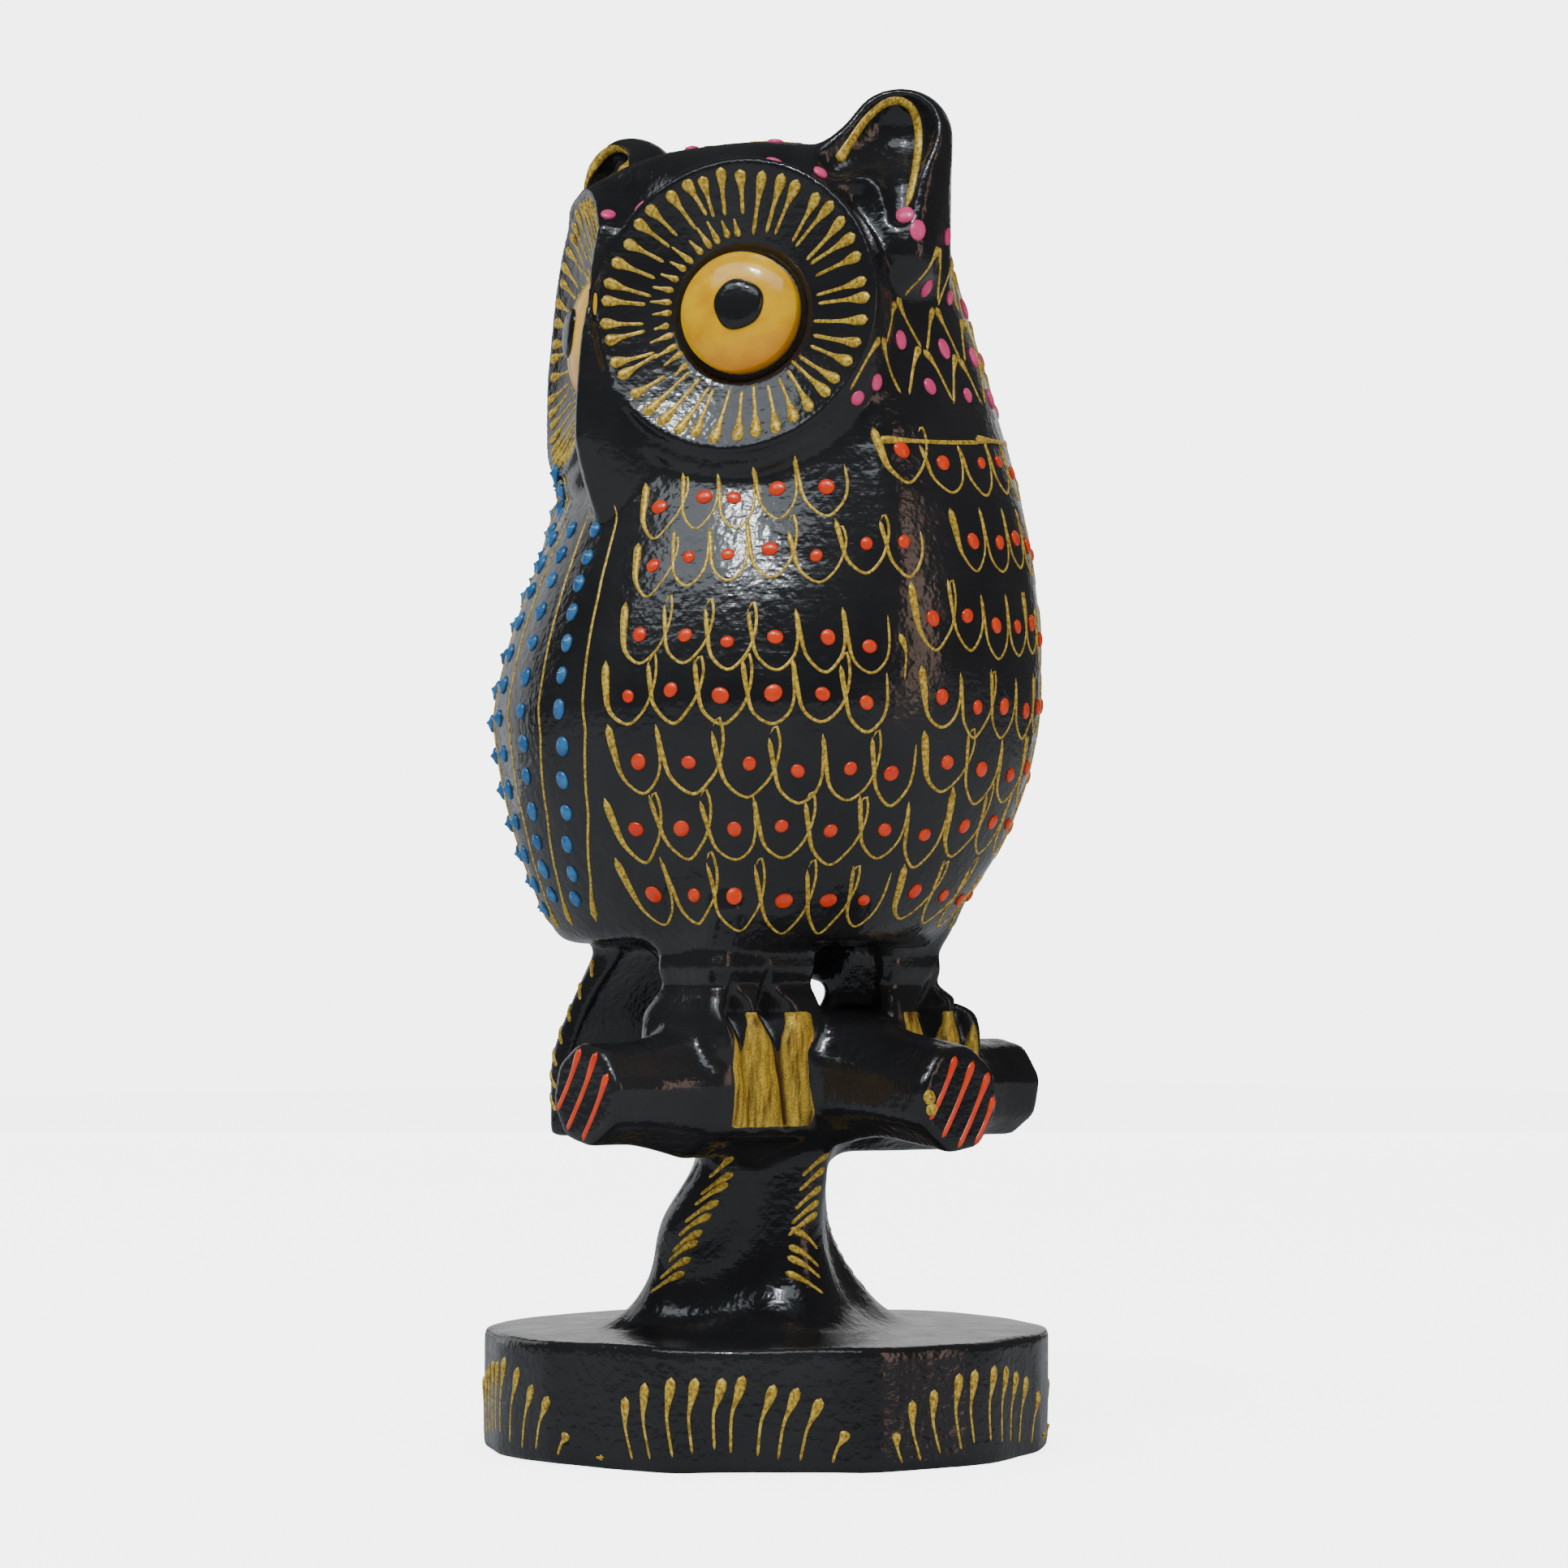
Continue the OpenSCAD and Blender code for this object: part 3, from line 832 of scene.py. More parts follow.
# ---------------------------------------------------------------- pieces of the carving
def make_piece(name, verts_mm, faces, material, replaces=(), normals=None, extra=None):
    """A mesh object from millimetre points, riding on the figure."""
    mesh = bpy.data.meshes.new(name)
    mesh.from_pydata((np.asarray(verts_mm) * MM).tolist(), [], faces)
    mesh.polygons.foreach_set("use_smooth", [True] * len(mesh.polygons))
    for key, values in (extra or {}).items():
        layer = mesh.attributes.new(key, "FLOAT", "POINT")
        layer.data.foreach_set("value", np.asarray(values, np.float32))
    if normals is not None:
        mesh.normals_split_custom_set_from_vertices(np.asarray(normals).tolist())
    mesh.materials.append(material)
    piece = bpy.data.objects.new(name, mesh)
    bpy.context.collection.objects.link(piece)
    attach(piece, "root")
    if replaces:
        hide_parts(*replaces)
    return piece


def member_of(p):
    """Number of the member that each point of the skin belongs to."""
    x, y, z = p.T
    names = ["base", "trunk", "perch", "front_branch", "right_foot", "left_foot", "right_leg",
             "left_leg", "body", "tail", "head", "face_lip", "right_eye_disc", "left_eye_disc",
             "beak", "right_ear", "left_ear"]
    number = {n: i for i, n in enumerate(names)}
    label = np.full(len(p), number["perch"])
    label[z > 56.3] = number["body"]
    label[z > NECK_Z] = number["head"]
    label[(z > 49) & (z <= 56.3) & (x > 0)] = number["left_leg"]
    label[(z > 49) & (z <= 56.3) & (x <= 0)] = number["right_leg"]
    middle_x, middle_y = trunk_middle(z)
    label[(z < PERCH_Z - PERCH_R + 0.1) & (np.hypot(x - middle_x, y - middle_y) < 10.5)] = \
        number["trunk"]
    label[z < 33] = number["trunk"]
    label[z < BASE_H] = number["base"]
    branch_zone = (np.abs(x) < 9) & (y < -14.6) & (z < 51) & (z > 31)
    label[branch_zone] = number["front_branch"]
    across = across_feet(x)
    foot_zone = (across > FOOT_IN - 0.6) & (across < FOOT_OUT + 0.6) & (z > FOOT_FLOOR + 0.3) \
        & (z < 51) & (y < PERCH_Y - 2) & (y > FOOT_FRONT - 1.3)
    label[foot_zone & (x > 0)] = number["left_foot"]
    label[foot_zone & (x < 0)] = number["right_foot"]
    label[(y > 15.5) & (z > 30) & (z < 57.2) & (np.abs(x) < 13)] = number["tail"]
    for side in BOTH:
        label[(lip(side, x, y, z) < 0.35) & (z < 116)] = number["face_lip"]
    for side, name in SIDE_NAMES.items():
        label[(ear(side, x, y, z) < 0.9) & (z > 139.5)] = number[name + "_ear"]
        u, v, w = on_disc(side, x, y, z)
        label[(np.hypot(u, v) < DISC_R + 0.15) & (w > -5.5) & (w < 1.5) & (side * y > 0)] = \
            number[name + "_eye_disc"]
    label[(beak(x, y, z) < 0.3) & (x < -19)] = number["beak"]
    return names, label


def votes_around(voters, labels, faces, count):
    """How often each label stands at the corners of faces, among the voters that meet there."""
    votes = np.zeros((len(VERTS), count), np.int16)
    for corner in range(4):
        np.add.at(votes, (voters[:, corner], labels), 1)
    return votes[faces].sum(axis=1)


def settle_labels(label, rounds=6):
    """Smooths the borders: each face takes the label that is most common around it."""
    count = label.max() + 1
    for _ in range(rounds):
        around = votes_around(QUADS, label, QUADS, count)
        around[np.arange(len(QUADS)), label] += 2
        label = around.argmax(axis=1)
    return label


def loops_of(faces):
    """Boundary loops of a set of quads, each an ordered list of vertices."""
    edges = np.concatenate([faces[:, [i, (i + 1) % 4]] for i in range(4)])
    key = edges[:, 0].astype(np.int64) * (edges.max() + 1) + edges[:, 1]
    back = edges[:, 1].astype(np.int64) * (edges.max() + 1) + edges[:, 0]
    rim = edges[~np.isin(key, back)]
    after = {}
    for a, b in rim.tolist():
        after.setdefault(a, []).append(b)
    loops = []

    def leave(here):
        step = after[here].pop()
        if not after[here]:
            del after[here]
        return step

    while after:
        first = next(iter(after))
        loop, here = [first], leave(first)
        while here != first:
            loop.append(here)
            here = leave(here)
        loops.append(loop)
    return loops


def largest_parts(faces, smallest):
    """Joined groups of quads with at least so many faces, and the faces of the smaller ones."""
    parent = np.arange(len(VERTS))

    def root(i):
        while parent[i] != i:
            parent[i] = parent[parent[i]]
            i = parent[i]
        return i

    for quad in faces.tolist():
        first = root(quad[0])
        for v in quad[1:]:
            other = root(v)
            if other != first:
                parent[other] = first
    roots = np.array([root(q) for q in faces[:, 0].tolist()])
    keys, counts = np.unique(roots, return_counts=True)
    return [roots == k for k, c in zip(keys, counts) if c >= smallest], \
        np.isin(roots, keys[counts < smallest])


SMALL_PATCH, SMALL_SHARE = 12, 0.12        # fewer faces than these are stray ones
CAP_RINGS = (0.35, 0.5)                    # how far each ring of a cut face sinks
CAP_DEPTHS = (0, 0.6, 1.2, 2, 3, 4.5, 6.5, 9)    # tried in turn for the middle of a cut face


def label_faces():
    """Names of the members, and the number of the one that each face of the skin is in."""
    names, label = member_of(VERTS[QUADS].mean(axis=1))
    label = settle_labels(label)
    for number in range(len(names)):           # islands go to the member beside them
        mine = np.flatnonzero(label == number)
        if len(mine) == 0:
            continue
        kept, stray = largest_parts(QUADS[mine], SMALL_PATCH)
        sizes = [k.sum() for k in kept]
        for k, size in zip(kept, sizes):
            if size < SMALL_SHARE * max(sizes):
                stray |= k
        label[mine[stray]] = -1
    for _ in range(200):
        lost = np.flatnonzero(label < 0)
        if len(lost) == 0:
            break
        known = np.flatnonzero(label >= 0)
        around = votes_around(QUADS[known], label[known], QUADS[lost], len(names))
        has = around.max(axis=1) > 0
        label[lost[has]] = around[has].argmax(axis=1)
    return names, label


def close_rim(verts, normals, quads, loop):
    """Closes one rim of a patch with rings that sink into the wood and a fan of faces."""
    for depth in CAP_RINGS:
        first = len(verts)
        verts = np.vstack([verts, verts[loop] - normals[loop] * depth])
        normals = np.vstack([normals, normals[loop]])
        inner = list(range(first, first + len(loop)))
        for i in range(len(loop)):
            j = (i + 1) % len(loop)
            quads.append([loop[j], loop[i], inner[i], inner[j]])
        loop = inner
    rim, rim_normals = verts[loop], normals[loop]
    heart = rim.mean(axis=0)
    inward = -rim_normals.mean(axis=0)
    for depth in CAP_DEPTHS:
        apex = heart + inward * depth
        spokes = np.concatenate([apex + (rim - apex) * t for t in (0.0, 0.3, 0.6, 0.85)])
        if clay.sample(spokes).max() < -0.03:
            break
    verts = np.vstack([verts, apex])
    normals = np.vstack([normals, -inward / max(np.linalg.norm(inward), 1e-6)])
    for a, b in zip(loop, loop[1:] + loop[:1]):
        quads.append([b, a, len(verts) - 1])
    return verts, normals


def split_figure():
    """Each member as a closed mesh: its patch of skin, and cut faces inside the wood."""
    names, label = label_faces()
    toe_gold = gold_mask(VERTS)
    for number, name in enumerate(names):
        faces = QUADS[label == number]
        used, flat = np.unique(faces, return_inverse=True)
        local = flat.reshape(faces.shape)
        verts, normals = VERTS[used], NORMALS[used]
        quads = local.tolist()
        for loop in loops_of(local):
            verts, normals = close_rim(verts, normals, quads, loop)
        gold = np.append(toe_gold[used], np.zeros(len(verts) - len(used)))
        toes = name.endswith("_foot")
        material = TOES if toes else BLACK
        # how far behind the toe fronts a point lies, which drives the painted shade in the toe
        # grooves
        behind = verts[:, 1] - toe_front(verts[:, 2])
        extra = {"gold": gold, "groove": ease((behind - 0.2) / 0.5)} if toes else None
        make_piece(name + "_carving", verts, quads, material, (name,), normals, extra)


def gold_mask(p):
    """How much of the gold wash over the toes covers each point."""
    x, y, z = p.T
    across = across_feet(x)
    inner = ease((across - FOOT_IN - 0.1) / 0.5) * ease((FOOT_OUT - 0.9 - across) / 0.5)
    high = ease((49.6 - z) / 0.6) * ease((z - FOOT_FLOOR - 0.4) / 0.6)
    front = ease((-12.0 - y) / 0.6) * ease((y - FOOT_FRONT + 1.1) / 0.4)
    deep = ease((y - toe_front(z) - 0.35) / 0.4) * ease((z - 43.5) / 2.5)
    return inner * high * front * (1 - deep)


split_figure()


# ---------------------------------------------------------------- eyes
EYE_TURNS = 64
PUPIL_PROFILE = ((2.85, -1.4), (2.87, -0.2), (2.75, 0.06), (2.4, 0.3), (1.9, 0.46), (1.2, 0.55),
                 (0.3, 0.58))     # radius, and height over the dome
PUPIL_OUT, PUPIL_UP = 0.55, 0.35  # where the pupil sits on the dome


def turned_eye(side):
    """Dome of an eye and its raised pupil, as two closed meshes on the floor of the dish."""
    middle, out, up, facing = face_frame(side)
    name = SIDE_NAMES[side]
    centre = middle - up * EYE_DROP

    def dome_height(r):
        return -DISH_DEPTH + 0.55 + EYE_H * np.sqrt(np.clip(1 - (r / (EYE_R + 0.25)) ** 2, 0, 1))

    def lathe(profile, centre, wobble):
        verts = []
        for r, w in profile:
            for i in range(EYE_TURNS):
                a = 2 * math.pi * i / EYE_TURNS
                rr = r * (1 + wobble * (math.sin(3 * a + 1.0) + 0.7 * math.sin(5 * a + side)))
                verts.append(centre + out * rr * math.cos(a) + up * rr * math.sin(a) + facing * w)
        verts = np.array(verts)
        return verts, outward(verts, tube_faces(len(profile), EYE_TURNS))

    profile = [(EYE_R, -DISH_DEPTH - 1.2), (EYE_R, -DISH_DEPTH - 0.2)]
    profile += [(EYE_R * math.cos(t * 1.52), dome_height(EYE_R * math.cos(t * 1.52)))
                for t in np.linspace(0, 1, 16)]
    verts, faces = lathe(profile, centre, 0.004)
    # how low each point lies on the dome, which drives the painted shade at its lower edge
    low = (verts - centre) @ (-up * 0.93 + out * 0.3) / EYE_R
    make_piece(name + "_eye_dome", verts, faces, YELLOW, (name + "_eye",),
               extra={"low": low})
    top = dome_height(0.6)
    verts, faces = lathe([(r, top + h) for r, h in PUPIL_PROFILE],
                         centre + out * PUPIL_OUT + up * PUPIL_UP, 0.026)
    make_piece(name + "_pupil_drop", verts, faces, BLACK, (name + "_pupil",))


def tube_faces(rings, around):
    """Quads between rings of vertices, and a face over each end."""
    faces = [(k * around + i, k * around + (i + 1) % around,
              (k + 1) * around + (i + 1) % around, (k + 1) * around + i)
             for k in range(rings - 1) for i in range(around)]
    return faces + [tuple(reversed(range(around))),
                    tuple(range((rings - 1) * around, rings * around))]


def outward(verts, faces):
    """The faces of a closed mesh, turned to look outwards."""
    heart = verts.mean(axis=0)
    volume = 0
    for face in faces:
        a = verts[face[0]] - heart
        for i in range(1, len(face) - 1):
            b, c = verts[face[i]] - heart, verts[face[i + 1]] - heart
            volume += a @ np.cross(b, c)
    return faces if volume > 0 else [tuple(reversed(f)) for f in faces]


for side in BOTH:
    turned_eye(side)


# ---------------------------------------------------------------- raised paint
NORMAL_REACH = 0.6               # how far apart the figure is felt for a smooth normal
BESIDE, OVER = 60, 170           # distance and height from which rays start outside it


def drop_on(origins, directions):
    """First points of the figure hit from origins along one or more directions, with normals."""
    hits = []
    for o, d in zip(origins, np.broadcast_to(directions, np.shape(origins))):
        place = tree.ray_cast(Vector(o), Vector(d))[0]
        hits.append(tuple(place) if place is not None else (math.nan,) * 3)
    hits = np.array(hits)
    good = ~np.isnan(hits[:, 0])
    normals = np.zeros_like(hits)
    if good.any():
        normals[good] = unit(clay.gradient(hits[good], NORMAL_REACH))
    return hits, normals


def from_side(azimuth, z):
    """Points of the figure seen level from azimuths in degrees at heights."""
    a = np.radians(np.asarray(azimuth, float))
    z = np.asarray(z, float) + 0 * a
    level = np.stack([np.sin(a), -np.cos(a), 0 * a], axis=1)
    return drop_on(level * BESIDE + np.stack([0 * z, 0 * z, z], axis=1), -level)


def from_above(x, y):
    x, y = np.asarray(x, float), np.asarray(y, float)
    return drop_on(np.stack([x, y, 0 * x + OVER], axis=1), (0, 0, -1))


def onto_disc(side, u, v):
    """Points of a face disc from offsets to its middle."""
    middle, out, up, facing = face_frame(side)
    starts = middle + np.outer(u, out) + np.outer(v, up) + facing * 12
    return drop_on(starts, -facing)


def nearest(points):
    """The figure's skin beside given points."""
    hits = np.array([tuple(tree.find_nearest(Vector(p))[0]) for p in points])
    return hits, unit(clay.gradient(hits, NORMAL_REACH))


def curve(points, count):
    """Evenly spaced points on a smooth curve through the given ones."""
    p = np.asarray(points, float)
    ends = np.vstack([2 * p[0] - p[1], p, 2 * p[-1] - p[-2]])
    fine = []
    for i in range(1, len(ends) - 2):
        a, b, c, d = ends[i - 1:i + 3]
        t = np.linspace(0, 1, 24, endpoint=False)[:, None]
        fine.append(0.5 * (2 * b + (c - a) * t + (2 * a - 5 * b + 4 * c - d) * t ** 2
                           + (3 * b - a - 3 * c + d) * t ** 3))
    fine = np.vstack(fine + [p[-1:]])
    length = np.concatenate([[0], np.cumsum(np.linalg.norm(np.diff(fine, axis=0), axis=1))])
    at = np.linspace(0, length[-1], count)
    return np.stack([np.interp(at, length, fine[:, k]) for k in range(p.shape[1])], axis=1)


def tear(count, head, tail, nose=0.16, waist=0.45):
    """Half-widths along a stroke that starts with a round blob and thins to its tail."""
    t = np.linspace(0, 1, count)
    blob = head * np.sqrt(np.clip(1 - ((t - nose) / nose) ** 2, 0, 1)) * (t <= nose)
    body = tail + (head - tail) * np.exp(-((t - nose) / (waist * 0.45)) ** 2)
    end = np.sqrt(np.clip((1 - t) / 0.06, 0, 1))
    return np.maximum(np.where(t <= nose, blob, body) * end, 0.03)


HIGHEST_BEAD, BEAD_SINKS = 0.36, 0.3     # how far a stroke may rise, and how far it goes in
DOT_TURNS = 14


class Paint:
    """Strokes and dots of one colour, raised over the lacquer and gathered in one mesh."""

    def __init__(self, name, material, slot):
        self.name, self.material, self.slot = name, material, slot
        self.verts, self.faces, self.count = [], [], 0

    def take(self, verts, faces):
        self.verts.append(verts)
        self.faces += [tuple(i + self.count for i in f) for f in outward(verts, faces)]
        self.count += len(verts)

    def stroke(self, place, half_width, height):
        """A bead of paint along points with normals; its height follows its width."""
        points, normals = place
        good = ~np.isnan(points[:, 0])
        points, normals = points[good], normals[good]
        w = np.broadcast_to(half_width, good.shape)[good]
        if len(points) < 3:
            return
        along = np.gradient(points, axis=0)
        across = unit(np.cross(normals, along))
        rise = np.minimum(w * height, HIGHEST_BEAD)
        ring = [(-1, 0), (-0.72, 0.72), (0, 1), (0.72, 0.72), (1, 0)]
        rows = [points + across * (w * a)[:, None] + normals * (rise * b - 0.02)[:, None]
                for a, b in ring]
        rows += [points + across * (w * a)[:, None] - normals * BEAD_SINKS for a in (0.7, -0.7)]
        verts = np.stack(rows, axis=1).reshape(-1, 3)
        self.take(verts, tube_faces(len(points), len(rows)))

    def dot(self, place, radius, height, tall=1.0, peak=0.0):
        """Round or drop-shaped dots; a peak pulls the paint up to a point."""
        for p, n in zip(*place):
            if math.isnan(p[0]):
                continue
            r = radius * (0.9 + 0.2 * rng.random())
            side = np.cross((0, 0, 1.0), n)
            if np.linalg.norm(side) < 0.1:
                side = np.array([1.0, 0, 0])
            side /= np.linalg.norm(side)
            upward = np.cross(n, side)
            tilt = 2 * math.pi * rng.random()
            profile = [(0.7, -0.4 / max(height, 0.01)), (1, -0.05), (0.95, 0.38), (0.75, 0.72),
                       (0.42, 0.93 + 0.1 * peak), (0.2, 1 + peak * 0.5), (0.05, 1 + peak)]
            verts = []
            for reach, level in profile:
                for i in range(DOT_TURNS):
                    a = 2 * math.pi * i / DOT_TURNS
                    rr = r * reach * (1 + 0.06 * math.sin(2 * a + tilt))
                    verts.append(p + side * rr * math.cos(a) + upward * rr * tall * math.sin(a)
                                 + n * height * level + upward * 0.1 * peak * (reach < 0.3))
            self.take(np.array(verts), tube_faces(len(profile), DOT_TURNS))

    def build(self):
        make_piece(self.name, np.vstack(self.verts), self.faces, self.material)


def jitter(amount):
    return amount * (2 * rng.random() - 1)


def brush(paint, points, widths, height, cast=from_side):
    """A stroke along a smooth curve, cast onto the figure; it has a point for each width."""
    paint.stroke(cast(*curve(points, len(widths)).T), widths, height)


# ---- scallops over the front, each row one line looped under its dots
scallops = Paint("breast_scallops", GOLD, "gold_paint")
breast_dots = Paint("breast_dots", ORANGE, "orange_enamel")


def scallop_row(z, first, last, count, drift=0.0, rise=3.7, deep=3.4):
    """Loops from one azimuth to another; drift lowers the row along its way."""
    pitch = (last - first) / count
    places = [first + (i + 0.5) * pitch + jitter(0.09 * pitch) for i in range(count)]
    heights = [z - drift * (i + 0.5) / count + jitter(0.6) for i in range(count)]
    for i, (middle, zi) in enumerate(zip(places, heights)):
        left = (places[i - 1] + middle) / 2 if i else middle - pitch / 2
        right = (places[i + 1] + middle) / 2 if i < count - 1 else middle + pitch / 2
        half = (right - left) / 2
        centre = (left + right) / 2
        low = zi - deep + jitter(0.3)
        top = rise + jitter(0.5)
        path = [(left - half * 0.16, zi + top), (left + half * 0.02, zi + top * 0.2),
                (left + half * 0.28, zi - deep * 0.55), (centre + half * 0.02, low),
                (right - half * 0.34, zi - deep * 0.62)]
        if rng.random() < 0.5 and i < count - 1:
            path += [(right + half * 0.06, zi - 0.3), (right + half * 0.24, zi + top * 0.6),
                     (right + half * 0.1, zi + top * 1.15), (right - half * 0.12, zi + top * 0.9)]
        else:
            path += [(right - half * 0.1, zi - 0.2),
                     (right - half * 0.14, zi + top * (0.55 + 0.3 * rng.random()))]
        head = 0.52 if i == 0 else 0.24 + 0.08 * rng.random()
        brush(scallops, path, tear(28, head, 0.15 + 0.04 * rng.random(), 0.06, 0.45), 0.6)
        breast_dots.dot(from_side([middle + jitter(0.6)], [zi + jitter(0.3)]),
                        0.78 + 0.18 * rng.random(), 0.34)


for row in ((105.2, -76.5, -22.5, 5, -1.4, 2.9), (98.3, -75, -7, 7, -1.8, 3.0),
            (90.5, -74, -16, 6, 0.8), (84.0, -77, -16, 6, 0.8), (76.8, -74, -8.5, 6, 1.8),
            (69.0, -79, 3.5, 7, 0.0), (61.9, -80, -7, 6, 0.4)):
    scallop_row(*row)
for row in ((110.2, -15, 76, 8, -0.6, 2.3), (102.0, 1.5, 78, 8, 0.6), (92.4, -11, 80, 10, 0.4),
            (83.4, -9, 80, 9, -0.8), (76.4, -6, 78, 7, 0.4), (70.2, 4, 78, 6, 0.2),
            (62.4, -3, 78, 6, 0.0, 3.2)):
    scallop_row(*row)
# a loose stroke where two sections meet
brush(scallops, [(-14.5, 90.4), (-13.2, 88.4), (-13.4, 85.4)], tear(14, 0.42, 0.14), 0.6)

# ---- lines and peaked dots down the back
back_lines = Paint("back_lines", GOLD, "gold_paint")
back_dots = Paint("back_dots", BLUE, "blue_enamel")
BACK_HALF, BACK_LINES = 97.0, 15


def back_azimuth(share, z):
    """Azimuth of a line down the back; the field narrows towards its foot and a little on top."""
    spread = np.interp(z, (57, 60, 64, 71, 80, 95, 106),
                       (0.83, 0.86, 0.92, 0.985, 1.02, 1.0, 0.97))
    return 180 + BACK_HALF * share * spread


def back_top(share):
    """The lines run up to the neck, and under the face only to the chest."""
    return 105.5 if share > 0.62 else 113.0


for i in range(BACK_LINES):
    share = 2 * i / (BACK_LINES - 1) - 1
    z = np.linspace(58.8 + jitter(0.5), back_top(share), 50)
    wander = 0.5 * np.sin(z / 9 + 6 * rng.random())
    back_lines.stroke(from_side(back_azimuth(share, z) + wander, z),
                      tear(50, 0.5, 0.19, 0.02, 0.08), 0.6)
for i in range(BACK_LINES - 1):
    share = (2 * i + 1) / (BACK_LINES - 1) - 1
    z = back_top(share) - 2 + jitter(0.6)
    while z > 60:
        back_dots.dot(from_side([back_azimuth(share, z) + jitter(0.5)], [z]),
                      0.86, 0.42, 1.25, 0.75)
        z -= 2.4 + 1.5 * math.sin(math.pi * min(max((z - 58) / 52, 0), 1)) + jitter(0.3)

# ---- the line round the neck, and the lattice of the head
head_lines = Paint("head_lines", GOLD, "gold_paint")
head_dots = Paint("head_dots", PINK, "pink_enamel")
for part in range(7):
    start = -16 + 31 * part
    stop = min(start + 33, 196)
    lift = 111.9 + 5.0 * np.clip((start + 16) / 120, 0, 1)
    brush(head_lines, [(start, lift), ((start + stop) / 2, lift + 0.5 + jitter(0.3)),
                       (stop, lift + 1.0 if start < 100 else lift)],
          tear(30, 0.5, 0.26, 0.05, 0.3), 0.6)


def on_ear(x, y, z):
    return any(ear(s, x, y, z) < 0.9 or ear_hollow(s, x, y, z) < 0.9 for s in BOTH)


LATTICE = ((135.8, -3), (129.5, 5), (123.5, -5), (118.5, -15))    # height and start of a row
LATTICE_PITCH = 16.0
for z, azimuth in LATTICE:
    while azimuth < 188:
        here = azimuth + jitter(1.2)
        azimuth += LATTICE_PITCH
        hit = from_side([here], [z])[0][0]
        if math.hypot(hit[0], hit[1]) > pear_radius(*hit) + 7.5:
            continue
        zi = z + jitter(0.5)
        head_dots.dot(from_side([here], [zi]), 0.8 + 0.2 * rng.random(), 0.36, 1.25)
        if math.hypot(hit[0], hit[1]) > pear_radius(*hit) + 2.0:
            continue
        for way in (-1, 1):
            brush(head_lines, [(here + way * 0.6, zi + 4.6 + jitter(0.4)),
                               (here + way * LATTICE_PITCH * 0.24, zi + 2.4),
                               (here + way * LATTICE_PITCH * 0.46, zi - 1.0 + jitter(0.5))],
                  tear(16, 0.48, 0.2, 0.1), 0.6)
# the same pattern in rings on the crown
for ring, (reach, count) in enumerate(((19.5, 11), (13.0, 8), (6.0, 4))):
    for i in range(count):
        azimuth = -150 + 360 * (i + 0.5 * (ring % 2)) / count
        d = aim(azimuth)
        if (reach > 15 and -d[0] > 0.35) or on_ear(d[0] * reach, d[1] * reach, 144):
            continue
        head_dots.dot(from_above([d[0] * reach], [d[1] * reach]), 0.85, 0.36, 1.2)
        for way in (-1, 1):
            path = []
            for inner, swing in ((reach - 3.4, 1.5), (reach - 1.2, 9.0), (reach + 1.6, 13.0)):
                e = aim(azimuth + way * swing * 12 / reach)
                path.append((e[0] * inner, e[1] * inner))
            brush(head_lines, path, tear(14, 0.42, 0.2, 0.1), 0.6, from_above)

# ---- outline of the ears, and a few dots beside the face
# Each ear seen level from an azimuth: offset to the right and height of its outline, and a spot
EAR_OUTLINE = {
    LEFT: (-42, ((8.0, 144.0), (9.2, 146.0), (11.1, 148.9), (13.0, 150.7), (14.5, 151.2),
                 (15.9, 150.8), (16.8, 149.4), (17.1, 147.0), (16.7, 143.4), (16.0, 140.0),
                 (15.6, 138.6)), (15.4, 137.5)),
    RIGHT: (-76, ((-17.2, 144.9), (-17.8, 147.2), (-19.0, 149.5), (-20.5, 150.9), (-22.2, 151.2),
                  (-23.9, 150.5), (-25.3, 148.8), (-26.3, 146.0), (-27.0, 143.2), (-27.1, 141.2)),
            (-26.9, 139.8)),
}


def seen_on_ear(azimuth, points):
    """The skin that the points of an ear's outline fall on, from an azimuth."""
    level, across = aim(azimuth), aim(azimuth + 90)
    return drop_on([across * a + level * BESIDE + np.array([0, 0, z]) for a, z in points], -level)


for side in BOTH:
    azimuth, outline, spot = EAR_OUTLINE[side]
    head_lines.stroke(seen_on_ear(azimuth, curve(outline, 70)), tear(70, 0.68, 0.58, 0.02, 0.1),
                      0.5)
    head_dots.dot(seen_on_ear(azimuth, [spot]), 1.2, 0.45, 1.0)
    middle, across, up, facing = face_frame(side)
    for u, v in ((4.5, 18.5), (10.6, 17.2), (-12.6, 12.9), (14.8, -11.2)):
        spot = middle + across * u + up * v - facing * 1.5
        head_dots.dot(nearest([spot]), 0.85, 0.36, 1.1)

# ---- rays on the face discs
rays = Paint("face_rays", GOLD, "gold_paint")
RAYS = 41


def ray(side, r, a, widths):
    """A stroke on a face disc through radii and angles; the discs mirror each other."""
    rays.stroke(onto_disc(side, -side * r * np.cos(a), r * np.sin(a)), widths, 0.5)


for side in BOTH:
    for i in range(RAYS):
        angle = 2 * math.pi * (i + jitter(0.17)) / RAYS
        # outer rays are short where a second ring of strokes stands inside them
        from_left = abs((angle - 2.7 + math.pi) % (2 * math.pi) - math.pi)
        short = from_left < 1.15
        far = DISC_R - 1.0 + jitter(0.3)
        near = (10.9 if short else 8.9) + jitter(0.5)
        r = np.linspace(far, near, 20)
        a = angle + jitter(0.05) * np.linspace(0, 1, 20)
        ray(side, r, a,
            tear(20, 0.62 + 0.1 * rng.random(), 0.2 + 0.05 * rng.random(), 0.13, 0.5))
        if short:
            r = np.linspace(8.2 + jitter(0.25), 10.6 + jitter(0.5), 12)
            a = angle + 0.07 + 0.03 * np.linspace(0, 1, 12)
            ray(side, r, a, tear(12, 0.4, 0.16, 0.2, 0.7))

# ---- orange strokes on the cut branch ends
end_marks = Paint("branch_end_marks", ORANGE, "orange_enamel")
end_blob = Paint("branch_end_blob", GOLD, "gold_paint")
LEAN = math.radians(60)


